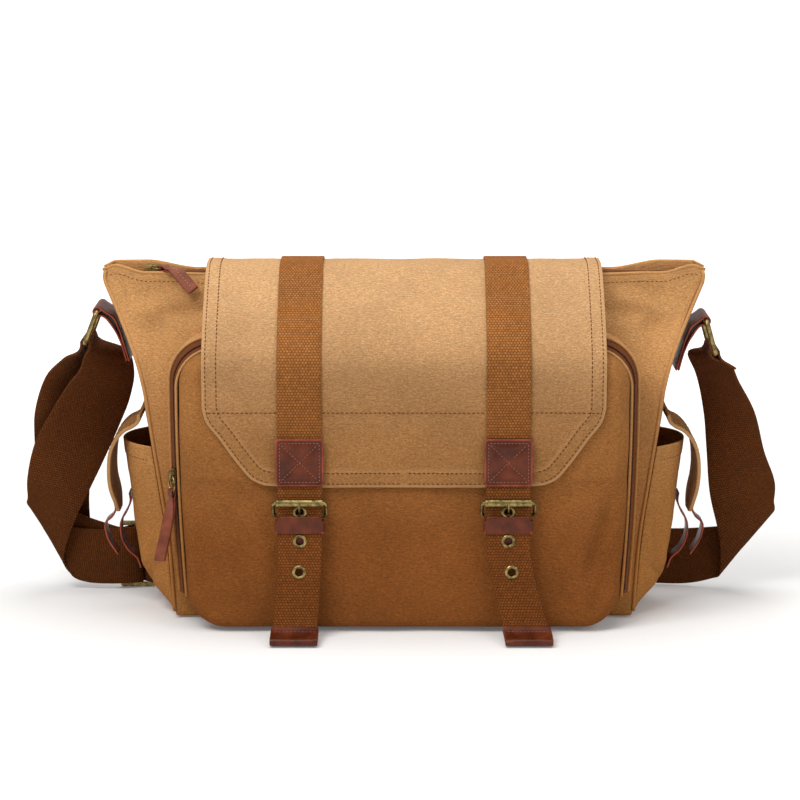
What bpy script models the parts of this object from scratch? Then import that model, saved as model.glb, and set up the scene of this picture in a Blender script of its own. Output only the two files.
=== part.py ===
"""A canvas messenger bag: zipped body, front pocket, strapped flap, side pockets and shoulder strap.

Metres, +Z up. The front faces -Y and +X is on the right of the front view. The origin is the middle of
the underside, which stands on the floor.
"""

import math

import bmesh
import bpy
from mathutils import Matrix, Vector

MM = 0.001

# Fits
GAP = 0.4 * MM              # between pieces that touch

# Cloth, webbing, leather and wire
CANVAS = 2.0 * MM
BASE_BOARD = 4.0 * MM
FLAP_CLOTH = 2.2 * MM
SIDE_FLAP_CLOTH = 3.0 * MM
WEB = 2.0 * MM
LEATHER = 1.6 * MM
ZIP_TAPE = 1.2 * MM

# Main compartment
BODY_HEIGHT = 287 * MM      # floor to the top zip
BASE_HALF_WIDTH = 194 * MM
WAIST_HALF_WIDTH = 221 * MM
WAIST_HEIGHT = 176 * MM
WING_HALF_WIDTH = 253 * MM  # at the top zip
WING_FLARE = 1.3            # how late the sides flare out to the wings
BASE_HALF_DEPTH = 52 * MM
TOP_HALF_DEPTH = 17 * MM
SHOULDER_POWER = 4          # how late the front and back lean in to the zip
FRONT_WING_RISE = 4 * MM
FRONT_WING_START = 228 * MM
BACK_WING_RISE = 9 * MM
BACK_WING_START = 172 * MM
BACK_WING_END = 215 * MM

# Zips
ZIP_SLOT = 5.0 * MM         # between the two tapes
SLIDER_LENGTH = 12 * MM
SLIDER_HALF_WIDTH = 4.8 * MM
SLIDER_PLATE = 1.4 * MM
SLIDER_PLAY = 0.4 * MM
POST_PLAY = 0.5 * MM
BRIDGE_HALF_LENGTH = 4.5 * MM
BRIDGE_HALF_WIDTH = 1.5 * MM
BRIDGE_WALL = 1.4 * MM
BRIDGE_HOLE = 2.4 * MM
PULL_RING_RADIUS = 7 * MM
PULL_RING_WIRE = 0.8 * MM
PULL_WIDTH = 10 * MM
PULL_NECK = 7 * MM          # where it is folded round the ring
PULL_LEATHER = 1.3 * MM
TOP_SLIDER_X = -212 * MM
TOP_PULL_LENGTH = 40 * MM
TOP_PULL_SLANT = math.radians(40)
TOP_PULL_BEND = math.radians(62)
TOP_PULL_BEND_RADIUS = 3.5 * MM
POCKET_SLIDER_HEIGHT = 128 * MM
POCKET_PULL_LENGTH = 58 * MM

# Front pocket
POCKET_HALF_WIDTH = 200 * MM    # where it is sewn to the body
POCKET_TOP = 250 * MM
POCKET_BOTTOM = 1.5 * MM
POCKET_DEPTH = 42 * MM          # from the body to the front rim, at the bottom
POCKET_CROWN = 4 * MM
POCKET_TOP_RADIUS = 40 * MM
POCKET_BOTTOM_RADIUS = 15 * MM
POCKET_TAPER = 8 * MM           # how much narrower the pocket is at its bottom
POCKET_RIM_INSET = 19 * MM      # from the sewn outline to the front rim
POCKET_ZIP_SETBACK = 19 * MM    # from the front rim back to the zip's middle
POCKET_TAPE_WIDTH = 5 * MM
POCKET_WALL_START = 27 * MM     # height at which the zip's side walls start

# Flap
FLAP_HALF_WIDTH = 164 * MM
FLAP_BOTTOM_HALF_WIDTH = 95 * MM
FLAP_CORNER_HEIGHT = 187 * MM
FLAP_BOTTOM = 124 * MM
FLAP_SEAM_DROP = 16 * MM        # from the zip down to the seam on the back
ZIP_HEADROOM = 7 * MM           # from the zip up to the flap

# Flap straps and buckles
STRAP_X = 85 * MM
STRAP_HALF_WIDTH = 18 * MM
STRAP_TIP_REACH = 40 * MM       # how far the tail runs out on the floor
STRAP_DRIFT = {"left": -5 * MM, "right": 18 * MM}
PATCH_HEIGHT = 39 * MM
PATCH_OVERHANG = 1.5 * MM
PATCH_LEATHER = 2.2 * MM
ROLLER_DROP = 11 * MM           # from the flap's edge down to the roller
ROLLER_RADIUS = 3.5 * MM
BUCKLE_WIRE = 1.6 * MM
BUCKLE_DROP = 12 * MM           # from the roller down to the heel bar
SNAP_RADIUS = 7 * MM
SNAP_THICK = 1.8 * MM
SNAP_DROP = 39 * MM             # from the roller down to the snap
TAB_REACH = 10 * MM             # from the snap down to the tab's end
TAB_HALF_WIDTH = 15 * MM
PRONG_WIRE = 0.9 * MM
KEEPER_HEIGHT = 10 * MM
EYELET_HOLE = 3.2 * MM          # radius
EYELET_RADIUS = 5.7 * MM
EYELET_FLANGE = 0.5 * MM
EYELET_BARREL = 0.5 * MM
EYELET_DROPS = (8.5 * MM, 32 * MM, 58 * MM)     # below the roller
TIP_LENGTH = 20 * MM

# Side pockets
SIDE_POCKET_BOTTOM = 5 * MM
SIDE_POCKET_TOP = 146 * MM
SIDE_POCKET_BULGE = 25 * MM
SIDE_POCKET_SEAM = 4 * MM       # from the body's corner seam to the pocket's edge
SIDE_FLAP_HEIGHT = 170 * MM
SIDE_FLAP_HALF_WIDTH = 33 * MM
SIDE_FLAP_TIP_HALF_WIDTH = 27 * MM
SIDE_STRAP_HALF_WIDTH = 9 * MM

# Shoulder strap, rings and tabs
SHOULDER_HALF_WIDTH = 25 * MM
RING_WIRE = 2.2 * MM
RING_PLAY = 0.8 * MM            # between the webbing's edge and the ring
RING_TOP_OUT = {"left": 14 * MM, "right": 13 * MM}      # out from the gusset at that height
RING_TOP_DROP = {"left": 31 * MM, "right": 39 * MM}     # down from the zip
RING_FOOT_OUT = {"left": 32.5 * MM, "right": 29 * MM}
RING_FOOT_DROP = {"left": 57 * MM, "right": 66 * MM}
RING_TAB_LENGTH = 42 * MM
RING_TAB_HALF_WIDTH = 22 * MM
ADJUSTER_OUT = 39 * MM          # out from the base's corner
ADJUSTER_INSET = 4 * MM         # forward of the back
ADJUSTER_PITCH = 14 * MM        # between its bars
ADJUSTER_WIRE = 1.5 * MM

SIDES = {"left": -1, "right": 1}

# Places that follow from these sizes
ROLLER_HEIGHT = FLAP_BOTTOM - ROLLER_DROP
SNAP_HEIGHT = ROLLER_HEIGHT - SNAP_DROP
TAB_BOTTOM = SNAP_HEIGHT - TAB_REACH
ADJUSTER_X = -(BASE_HALF_WIDTH + ADJUSTER_OUT)
ADJUSTER_Y = BASE_HALF_DEPTH - ADJUSTER_INSET


# Scene and materials

for leftover in list(bpy.data.objects):
    bpy.data.objects.remove(leftover, do_unlink=True)

bag = bpy.data.collections.new("messenger_bag")
cutters = bpy.data.collections.new("cutters")
bpy.context.scene.collection.children.link(bag)
bpy.context.scene.collection.children.link(cutters)


def finish(name, red, green, blue, roughness, metallic=0.0):
    material = bpy.data.materials.new(name)
    material.use_nodes = True
    shader = material.node_tree.nodes["Principled BSDF"]
    shader.inputs["Base Color"].default_value = (red, green, blue, 1)
    shader.inputs["Roughness"].default_value = roughness
    shader.inputs["Metallic"].default_value = metallic
    return material


CANVAS_TAN = finish("tan_canvas", 0.42, 0.24, 0.10, 0.9)
FLAP_TAN = finish("flap_canvas", 0.50, 0.31, 0.14, 0.9)
WEB_BROWN = finish("brown_webbing", 0.21, 0.10, 0.035, 0.85)
STRAP_DARK = finish("dark_webbing", 0.10, 0.045, 0.018, 0.85)
LEATHER_RED = finish("red_brown_leather", 0.16, 0.04, 0.025, 0.45)
BRASS = finish("antique_brass", 0.42, 0.33, 0.14, 0.35, 1.0)
ZIP_BROWN = finish("zip_tape", 0.16, 0.075, 0.03, 0.85)


# Curves and small shape helpers

def ease(value, low, high):
    """0 below low and 1 above high, with a smooth step between."""
    share = min(max((value - low) / (high - low), 0.0), 1.0)
    return share * share * (3 - 2 * share)


def smoothed(points, step):
    """Points on a smooth curve through points, about step apart."""
    spans = [(after - before).length for before, after in zip(points, points[1:])]
    slopes = [(after - before) / span for before, after, span in zip(points, points[1:], spans)]
    tangents = [slopes[0]]
    for number in range(1, len(points) - 1):
        before, after = spans[number - 1], spans[number]
        tangents.append((slopes[number - 1] * after + slopes[number] * before) / (before + after))
    tangents.append(slopes[-1])
    drawn = []
    for number, span in enumerate(spans):
        pieces = max(1, math.ceil(span / step))
        for piece in range(pieces):
            t = piece / pieces
            drawn.append(
                points[number] * (1 + 2 * t) * (1 - t) ** 2
                + points[number + 1] * t * t * (3 - 2 * t)
                + tangents[number] * span * t * (1 - t) ** 2
                - tangents[number + 1] * span * t * t * (1 - t)
            )
    return drawn + [points[-1]]


def arc(centre, radius, start, end, steps):
    """Points on an arc in a plane, its angles in degrees."""
    turns = [math.radians(start + (end - start) * number / steps) for number in range(steps + 1)]
    return [Vector((centre[0] + radius * math.cos(a), centre[1] + radius * math.sin(a))) for a in turns]


def shifted(points, distance):
    """A plane path moved sideways, to the left of its travel."""
    moved = []
    for number, point in enumerate(points):
        before = points[max(number - 1, 0)]
        after = points[min(number + 1, len(points) - 1)]
        travel = (after - before).normalized()
        moved.append(point + Vector((-travel.y, travel.x)) * distance)
    return moved


def add_part(name, mesh, material, collection=bag):
    part = bpy.data.objects.new(name, mesh)
    collection.objects.link(part)
    mesh.materials.clear()
    mesh.materials.append(material)
    return part


def mesh_from(name, shape):
    mesh = bpy.data.meshes.new(name)
    shape.to_mesh(mesh)
    shape.free()
    return mesh


def thicken(part, thickness, offset):
    wall = part.modifiers.new("thickness", "SOLIDIFY")
    wall.thickness = thickness
    wall.offset = offset
    wall.use_even_offset = True
    wall.use_quality_normals = True


def sheet(name, columns, rows, place, thickness, material, offset=-1):
    """A cloth or leather piece: a grid laid by place(across, along), each 0 to 1, with a thickness."""
    shape = bmesh.new()
    bmesh.ops.create_grid(shape, x_segments=columns, y_segments=rows, size=0.5)
    for vert in shape.verts:
        vert.co = place(vert.co.x + 0.5, vert.co.y + 0.5)
    part = add_part(name, mesh_from(name, shape), material)
    part.data.shade_smooth()
    thicken(part, thickness, offset)
    return part


def strip(name, path, width_to_world, thickness, material, columns=1, offset=0):
    """A strip whose path is a list of plane points; width_to_world(across, point) places each one."""
    rows = len(path) - 1

    def place(across, share):
        return width_to_world(2 * across - 1, path[round(share * rows)])

    return sheet(name, columns, rows, place, thickness, material, offset)


def as_mesh(curve_object, material, collection=bag, scale=1.0):
    """The curve's solid as a mesh object with welded caps."""
    bpy.context.view_layer.update()
    graph = bpy.context.evaluated_depsgraph_get()
    mesh = bpy.data.meshes.new_from_object(curve_object.evaluated_get(graph))
    name = curve_object.name
    matrix = curve_object.matrix_world.copy()
    bpy.data.objects.remove(curve_object, do_unlink=True)
    shape = bmesh.new()
    shape.from_mesh(mesh)
    bmesh.ops.scale(shape, vec=(scale, scale, scale), verts=shape.verts)
    bmesh.ops.remove_doubles(shape, verts=shape.verts, dist=1e-6)
    bmesh.ops.recalc_face_normals(shape, faces=shape.faces)
    shape.to_mesh(mesh)
    shape.free()
    part = add_part(name, mesh, material, collection)
    part.name = name
    part.matrix_world = matrix
    return part


def outline_solid(name, outlines, half_thickness, material, matrix, collection=bag):
    """A flat outline, with any holes, given a thickness and placed by matrix; it is drawn in millimetres."""
    curve = bpy.data.curves.new(name, "CURVE")
    curve.dimensions = "2D"
    curve.fill_mode = "BOTH"
    curve.extrude = half_thickness / MM
    for points in outlines:
        spline = curve.splines.new("POLY")
        spline.points.add(len(points) - 1)
        for knot, point in zip(spline.points, points):
            knot.co = (point[0] / MM, point[1] / MM, 0, 1)
        spline.use_cyclic_u = True
    drawn = bpy.data.objects.new(name, curve)
    bag.objects.link(drawn)
    drawn.matrix_world = matrix
    return as_mesh(drawn, material, collection, MM)


def wire(name, points, radius, material, closed=False, sides=2):
    """A bent wire through points."""
    curve = bpy.data.curves.new(name, "CURVE")
    curve.dimensions = "3D"
    curve.bevel_depth = radius
    curve.bevel_resolution = sides
    curve.use_fill_caps = True
    spline = curve.splines.new("POLY")
    spline.points.add(len(points) - 1)
    for knot, point in zip(spline.points, points):
        knot.co = (*point, 1)
    spline.use_cyclic_u = closed
    drawn = bpy.data.objects.new(name, curve)
    bag.objects.link(drawn)
    part = as_mesh(drawn, material)
    part.data.shade_smooth()
    return part


def turned(name, profile, steps, material, matrix):
    """A closed profile of (radius, height) points turned about Z, and placed by matrix."""
    shape = bmesh.new()
    verts = [shape.verts.new((radius, 0, height)) for radius, height in profile]
    for number, vert in enumerate(verts):
        shape.edges.new((vert, verts[(number + 1) % len(verts)]))
    part = add_part(name, mesh_from(name, shape), material)
    screw = part.modifiers.new("turned", "SCREW")
    screw.steps = steps
    screw.render_steps = steps
    screw.use_merge_vertices = True
    screw.merge_threshold = 1e-6
    screw.use_smooth_shade = True
    part.matrix_world = matrix
    return part


def boolean(part, other, operation):
    cut = part.modifiers.new(operation.lower(), "BOOLEAN")
    cut.operation = operation
    cut.solver = "EXACT"
    cut.object = other
    other.hide_render = True
    other.display_type = "WIRE"


def block(name, low, high, material, collection=bag):
    shape = bmesh.new()
    bmesh.ops.create_cube(shape, size=1)
    low, high = Vector(low), Vector(high)
    bmesh.ops.scale(shape, vec=high - low, verts=shape.verts)
    bmesh.ops.translate(shape, vec=(low + high) / 2, verts=shape.verts)
    return add_part(name, mesh_from(name, shape), material, collection)


def frame_matrix(origin, x_axis, y_axis):
    """The matrix whose X and Y axes lie along two directions at right angles."""
    x_axis, y_axis = Vector(x_axis).normalized(), Vector(y_axis).normalized()
    turn = Matrix((x_axis, y_axis, x_axis.cross(y_axis))).transposed()
    return Matrix.Translation(Vector(origin)) @ turn.to_4x4()


# Main compartment

def half_width(z):
    if z <= WAIST_HEIGHT:
        return BASE_HALF_WIDTH + (WAIST_HALF_WIDTH - BASE_HALF_WIDTH) * z / WAIST_HEIGHT
    flare = ((z - WAIST_HEIGHT) / (BODY_HEIGHT - WAIST_HEIGHT)) ** WING_FLARE
    return WAIST_HALF_WIDTH + (WING_HALF_WIDTH - WAIST_HALF_WIDTH) * flare


def half_depth(z):
    lean = min(z / BODY_HEIGHT, 1.0) ** SHOULDER_POWER
    return BASE_HALF_DEPTH + (TOP_HALF_DEPTH - BASE_HALF_DEPTH) * lean


def front_edge(x):
    return BODY_HEIGHT + FRONT_WING_RISE * ease(abs(x), FRONT_WING_START, WING_HALF_WIDTH)


def back_edge(x):
    return BODY_HEIGHT + BACK_WING_RISE * ease(abs(x), BACK_WING_START, BACK_WING_END)


PANEL_FOOT = BASE_BOARD + GAP


def body_panel(name, facing, edge):
    def place(across, share):
        level = PANEL_FOOT + (BODY_HEIGHT - PANEL_FOOT) * share
        x = (1 - 2 * across) * facing * half_width(level)
        z = PANEL_FOOT + (edge(x) - PANEL_FOOT) * share
        return Vector((x, facing * half_depth(z), z))

    sheet(name, 14, 12, place, CANVAS, CANVAS_TAN)


def gusset(name, side):
    def place(across, share):
        level = PANEL_FOOT + (BODY_HEIGHT - PANEL_FOOT) * share
        x = half_width(level)
        rim = BODY_HEIGHT + FRONT_WING_RISE
        z = PANEL_FOOT + (rim - PANEL_FOOT) * share
        reach = half_depth(z) - CANVAS * 1.15 - GAP
        return Vector((side * x, side * (2 * across - 1) * reach, z))

    sheet(name, 3, 12, place, CANVAS, CANVAS_TAN)


body_panel("front_panel", -1, front_edge)
body_panel("back_panel", 1, back_edge)
for side_name, side in SIDES.items():
    gusset(side_name + "_gusset", side)

block(
    "bottom_panel",
    (-BASE_HALF_WIDTH, -BASE_HALF_DEPTH, 0),
    (BASE_HALF_WIDTH, BASE_HALF_DEPTH, BASE_BOARD),
    CANVAS_TAN,
)


# Top zip

ZIP_HALF_LENGTH = WING_HALF_WIDTH - 2 * CANVAS - 4 * GAP


def top_tape(name, facing):
    outer = TOP_HALF_DEPTH - CANVAS * 1.15 - GAP
    inner = ZIP_SLOT / 2
    front, rear = (-outer, -inner) if facing < 0 else (inner, outer)

    def place(across, share):
        return Vector(((2 * across - 1) * ZIP_HALF_LENGTH, front + (rear - front) * share, BODY_HEIGHT))

    sheet(name, 1, 1, place, ZIP_TAPE, ZIP_BROWN)


top_tape("top_zip_front_tape", -1)
top_tape("top_zip_back_tape", 1)

BRIDGE_FLOOR = SLIDER_PLAY + SLIDER_PLATE
BRIDGE_MIDDLE = BRIDGE_FLOOR + BRIDGE_HOLE / 2
PULL_LOOP_HEIGHT = PULL_RING_WIRE + GAP + PULL_LEATHER / 2
PULL_LOOP_REACH = PULL_RING_RADIUS - math.sqrt(PULL_RING_RADIUS ** 2 - (PULL_NECK / 2) ** 2)


def zip_slider(name, matrix):
    """A slider that straddles two tapes: X along the zip and Z out, from the tapes' outer face."""
    wide = SLIDER_HALF_WIDTH
    post = ZIP_SLOT / 2 - POST_PLAY
    upper = SLIDER_PLAY
    lower = -ZIP_TAPE - SLIDER_PLAY
    fillet = SLIDER_PLAY / 4
    half = [
        (wide, upper + SLIDER_PLATE), (wide, upper), (post, upper - fillet),
        (post, lower + fillet), (wide, lower), (wide, lower - SLIDER_PLATE),
    ]
    section = half + [(-y, z) for y, z in reversed(half)]
    along_zip = frame_matrix((0, 0, 0), (0, 1, 0), (0, 0, 1))
    slider = outline_solid(name, [section], SLIDER_LENGTH / 2, BRASS, matrix @ along_zip)
    reach = BRIDGE_HALF_LENGTH
    root = BRIDGE_FLOOR - SLIDER_PLATE / 2
    roof = BRIDGE_FLOOR + BRIDGE_HOLE
    bevel = BRIDGE_WALL / 2
    arch = [
        (-reach, root), (-reach, roof - bevel), (bevel - reach, roof + BRIDGE_WALL),
        (reach - bevel, roof + BRIDGE_WALL), (reach, roof - bevel), (reach, root),
        (reach - BRIDGE_WALL, root + bevel / 4), (reach - BRIDGE_WALL, roof),
        (BRIDGE_WALL - reach, roof), (BRIDGE_WALL - reach, root + bevel / 4),
    ]
    upright = frame_matrix((0, 0, 0), (1, 0, 0), (0, 0, 1))
    bridge = outline_solid(name + "_bridge", [arch], BRIDGE_HALF_WIDTH, BRASS, matrix @ upright, cutters)
    boolean(slider, bridge, "UNION")


def pull_ring(name, centre, matrix):
    bpy.ops.mesh.primitive_torus_add(
        major_radius=PULL_RING_RADIUS, minor_radius=PULL_RING_WIRE, major_segments=20, minor_segments=8)
    ring = bpy.context.object
    ring.name = name
    for holder in list(ring.users_collection):
        holder.objects.unlink(ring)
    bag.objects.link(ring)
    ring.data.materials.append(BRASS)
    ring.data.shade_smooth()
    ring.matrix_world = matrix @ Matrix.Translation(centre)


def pull_half_width(distance):
    return (PULL_NECK + (PULL_WIDTH - PULL_NECK) * ease(distance, 3 * MM, 10 * MM)) / 2


def pull_fold(length):
    """The path of a strip folded round a ring's wire: distance from the ring's far side, and height."""
    spread = PULL_LOOP_HEIGHT
    bight = -PULL_LOOP_REACH
    close = (PULL_LEATHER + GAP) / 2
    lower = [Vector((length, -close)), Vector((length * 0.6, -close)), Vector((7 * MM, -close)),
             Vector((4.5 * MM, -close)), Vector((2 * MM, -spread))]
    loop = arc((bight, 0), spread, -90, -270, 6)
    upper = [Vector((point.x, -point.y)) for point in reversed(lower)]
    return lower + loop + upper


top_zip_matrix = Matrix.Translation((TOP_SLIDER_X, 0, BODY_HEIGHT))
zip_slider("top_zip_slider", top_zip_matrix)
pull_ring("top_zip_ring", (PULL_RING_RADIUS, 0, BRIDGE_MIDDLE), top_zip_matrix)


def top_pull():
    """A folded pull that leaves the ring to the front right and bends down over the front panel's edge."""
    slant_x, slant_y = math.sin(TOP_PULL_SLANT), math.cos(TOP_PULL_SLANT)
    start_x = TOP_SLIDER_X + PULL_RING_RADIUS * (1 + slant_x)
    start_y = PULL_RING_RADIUS * slant_y
    level = BODY_HEIGHT + BRIDGE_MIDDLE
    bend_start = TOP_HALF_DEPTH
    bend_run = TOP_PULL_BEND * TOP_PULL_BEND_RADIUS

    def place(across, point):
        sideways = across * pull_half_width(point.x)
        x = start_x + point.x * slant_x + sideways * slant_y
        forward = start_y + point.x * slant_y - sideways * slant_x
        turn = min(max(forward - bend_start, 0.0) / bend_run, 1.0) * TOP_PULL_BEND
        rest = max(forward - bend_start - bend_run, 0.0)
        radius = TOP_PULL_BEND_RADIUS + point.y
        y = min(forward, bend_start) + radius * math.sin(turn) + rest * math.cos(TOP_PULL_BEND)
        z = level - TOP_PULL_BEND_RADIUS + radius * math.cos(turn) - rest * math.sin(TOP_PULL_BEND)
        return Vector((x, -y, z))

    fold = pull_fold(TOP_PULL_LENGTH)
    fine = []
    for number, point in enumerate(fold[:-1]):
        pieces = max(1, round((fold[number + 1] - point).length / (3 * MM)))
        fine += [point.lerp(fold[number + 1], step / pieces) for step in range(pieces)]
    strip("top_zip_pull", fine + fold[-1:], place, PULL_LEATHER, LEATHER_RED, columns=4)


top_pull()


# Front pocket

POCKET_RIM_Y = -(BASE_HALF_DEPTH + POCKET_DEPTH)
POCKET_FACE_Y = POCKET_RIM_Y - POCKET_CROWN
POCKET_ZIP_Y = POCKET_RIM_Y + POCKET_ZIP_SETBACK


def pocket_seat(z):
    """Where the pocket is sewn to the sloping front of the body."""
    return -half_depth(z - CANVAS) - 3 * GAP


def pocket_inset(y):
    """How far in the wall stands at depth y, from the sewn outline to the front rim."""
    share = (y + BASE_HALF_DEPTH) / (POCKET_RIM_Y + BASE_HALF_DEPTH)
    return POCKET_RIM_INSET * min(max(share, 0.0), 1.0)


def pocket_taper(z):
    return POCKET_TAPER * max(1 - z / (POCKET_TOP - POCKET_TOP_RADIUS - POCKET_RIM_INSET), 0) ** 2


def pocket_outline(inset, share):
    """A point on the wall's outline: share 0 to 1 from the lower left, over the top, to the lower right."""
    wide = POCKET_HALF_WIDTH - inset
    radius = POCKET_TOP_RADIUS - inset * 0.5
    top = POCKET_TOP - inset
    rise = top - radius - POCKET_WALL_START
    level = wide - radius
    corner = radius * math.pi / 2
    half = rise + corner + level
    place = half - abs(share * 2 - 1) * half
    if place < rise:
        z = POCKET_WALL_START + place
        x = wide - pocket_taper(z)
    elif place < rise + corner:
        turn = (place - rise) / radius
        x = level + radius * math.cos(turn)
        z = top - radius + radius * math.sin(turn)
    else:
        x = level - (place - rise - corner)
        z = top
    return (x if share > 0.5 else -x), z


def pocket_wall(name, rear, front, thickness, material):
    """A U-shaped band round the pocket, from depth rear to depth front; rear may be a function of z."""
    def place(across, share):
        x, z = pocket_outline(0, share)
        back = rear(z) if callable(rear) else rear
        y = back + (front - back) * across
        x, z = pocket_outline(pocket_inset(y), share)
        return Vector((x, y, z))

    sheet(name, 1, 36, place, thickness, material)


TAPE_REAR = POCKET_ZIP_Y + ZIP_SLOT / 2 + POCKET_TAPE_WIDTH
TAPE_FRONT = POCKET_ZIP_Y - ZIP_SLOT / 2 - POCKET_TAPE_WIDTH
pocket_wall("pocket_gusset", pocket_seat, TAPE_REAR + GAP, CANVAS, CANVAS_TAN)
pocket_wall("pocket_zip_rear_tape", TAPE_REAR, POCKET_ZIP_Y + ZIP_SLOT / 2, ZIP_TAPE, ZIP_BROWN)
pocket_wall("pocket_zip_front_tape", POCKET_ZIP_Y - ZIP_SLOT / 2, TAPE_FRONT, ZIP_TAPE, ZIP_BROWN)


# The heights between which the panel's edge turns from the body's seam to the zip
POCKET_TURN_LOW = POCKET_WALL_START - 9 * MM
POCKET_TURN_HIGH = POCKET_WALL_START - 2.5 * MM


def pocket_ring(shape, side_y, foot_y, extra):
    """One closed section of the pocket's front: its walls stand at side_y and its bottom edge at foot_y."""
    inset = pocket_inset(side_y) + extra
    top = POCKET_TOP - inset
    foot = POCKET_BOTTOM + extra
    upper = POCKET_TOP_RADIUS - inset * 0.5
    lower = max(POCKET_BOTTOM_RADIUS - extra, 4 * MM)
    half = []
    for step in range(4):
        half.append((None, foot, step / 4))
    for turn in (0, 22.5, 45, 67.5):
        angle = math.radians(turn)
        half.append((lower * (1 - math.sin(angle)), foot + lower * (1 - math.cos(angle)), None))
    turn_low, turn_high = POCKET_TURN_LOW + extra, POCKET_TURN_HIGH + extra
    half += [(0, foot + lower, None), (0, turn_low, None)]
    for step in range(6):
        half.append((0, turn_high + (top - upper - turn_high) * step / 6, None))
    for turn in (0, 22.5, 45, 67.5):
        angle = math.radians(turn)
        half.append((upper * (1 - math.cos(angle)), top - upper * (1 - math.sin(angle)), None))
    for step in range(5):
        half.append((None, top, 1 - step / 4))
    points = []
    for cut, z, share in half:
        y = foot_y + (side_y - foot_y) * ease(z - extra, POCKET_TURN_LOW, POCKET_TURN_HIGH)
        wide = POCKET_HALF_WIDTH - pocket_inset(y) - extra - pocket_taper(z)
        if share is None:
            x = wide - cut
        else:
            x = (wide - (lower if z == foot else upper)) * share
        points.append((x, y, z))
    mirrored = [(-x, y, z) for x, y, z in reversed(points[1:-1])]
    return [shape.verts.new(point) for point in points + mirrored]


def pocket_front():
    """The pocket's front panel: a crowned face, side walls back to the zip and a bottom back to the body."""
    seat = pocket_seat(0) - 2 * GAP
    middle = (TAPE_FRONT + POCKET_RIM_Y) / 2
    crown = POCKET_CROWN
    sections = [
        (TAPE_FRONT - 2.5 * GAP, seat, 0),
        (middle, (seat + POCKET_RIM_Y) / 2, 0),
        (POCKET_RIM_Y, POCKET_RIM_Y, 0),
        (POCKET_RIM_Y - crown * 0.6, POCKET_RIM_Y - crown * 0.6, 3 * MM),
        (POCKET_RIM_Y - crown * 0.9, POCKET_RIM_Y - crown * 0.9, 11 * MM),
        (POCKET_FACE_Y, POCKET_FACE_Y, 45 * MM),
    ]
    shape = bmesh.new()
    rings = [pocket_ring(shape, *section) for section in sections]
    count = len(rings[0])
    for outer, inner in zip(rings, rings[1:]):
        for number in range(count):
            following = (number + 1) % count
            shape.faces.new((outer[number], outer[following], inner[following], inner[number]))
    shape.faces.new(rings[-1])
    bmesh.ops.recalc_face_normals(shape, faces=shape.faces)
    part = add_part("pocket_front_panel", mesh_from("pocket_front_panel", shape), CANVAS_TAN)
    part.data.shade_smooth()
    thicken(part, CANVAS, -1)


pocket_front()

# Pocket zip slider, ring and pull, on the left wall

wall_run = Vector((POCKET_RIM_INSET, POCKET_RIM_Y + BASE_HALF_DEPTH, 0)).normalized()
slider_x = -POCKET_HALF_WIDTH + pocket_inset(POCKET_ZIP_Y) + pocket_taper(POCKET_SLIDER_HEIGHT)
pocket_zip_matrix = frame_matrix((slider_x, POCKET_ZIP_Y, POCKET_SLIDER_HEIGHT), (0, 0, 1), -wall_run)
zip_slider("pocket_zip_slider", pocket_zip_matrix)
pull_ring("pocket_zip_ring", (-PULL_RING_RADIUS, 0, BRIDGE_MIDDLE), pocket_zip_matrix)


def pocket_pull():
    """A folded pull that hangs from the ring, down the pocket's side."""
    def place(across, point):
        sideways = across * pull_half_width(point.x)
        drop = -2 * PULL_RING_RADIUS - point.x
        return pocket_zip_matrix @ Vector((drop, sideways, BRIDGE_MIDDLE + point.y))

    strip("pocket_zip_pull", pull_fold(POCKET_PULL_LENGTH), place, PULL_LEATHER, LEATHER_RED)


pocket_pull()


# Flap

POCKET_FRONT_TOP = POCKET_TOP - POCKET_RIM_INSET
FLAP_FACE_Y = POCKET_FACE_Y - GAP - FLAP_CLOTH
FLAP_SEAM_HEIGHT = BODY_HEIGHT - FLAP_SEAM_DROP
FLAP_CREST = BODY_HEIGHT + ZIP_HEADROOM + FLAP_CLOTH
FLAP_SEAM_Y = half_depth(FLAP_SEAM_HEIGHT) + GAP + FLAP_CLOTH

flap_profile = smoothed([
    Vector((FLAP_SEAM_Y, FLAP_SEAM_HEIGHT)),
    Vector((FLAP_SEAM_Y - 4.5 * MM, FLAP_SEAM_HEIGHT + 13 * MM)),
    Vector((TOP_HALF_DEPTH + 1 * MM, FLAP_CREST - 2.5 * MM)),
    Vector((TOP_HALF_DEPTH - 8 * MM, FLAP_CREST)),
    Vector((0, FLAP_CREST)),
    Vector((-TOP_HALF_DEPTH - 6 * MM, FLAP_CREST - 1 * MM)),
    Vector((FLAP_FACE_Y + 40 * MM, POCKET_FRONT_TOP + 41 * MM)),
    Vector((FLAP_FACE_Y + 14 * MM, POCKET_FRONT_TOP + 17 * MM)),
    Vector((FLAP_FACE_Y + 0.8 * MM, POCKET_FRONT_TOP - 2 * MM)),
    Vector((FLAP_FACE_Y, POCKET_FRONT_TOP - 30 * MM)),
    Vector((FLAP_FACE_Y, (POCKET_FRONT_TOP - 30 * MM + FLAP_BOTTOM) / 2)),
    Vector((FLAP_FACE_Y, FLAP_BOTTOM)),
], 12 * MM)


def flap_half_width(point):
    if point.x > 0 or point.y > FLAP_CORNER_HEIGHT:
        return FLAP_HALF_WIDTH
    cut = (FLAP_CORNER_HEIGHT - point.y) / (FLAP_CORNER_HEIGHT - FLAP_BOTTOM)
    return FLAP_HALF_WIDTH + (FLAP_BOTTOM_HALF_WIDTH - FLAP_HALF_WIDTH) * cut ** 1.15


def flap_place(across, point):
    return Vector((-across * flap_half_width(point), point.x, point.y))


strip("flap", flap_profile, flap_place, FLAP_CLOTH, FLAP_TAN, columns=6, offset=-1)


# Flap straps and buckles. Paths run in the plane across the bag, as (y, z).

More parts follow.
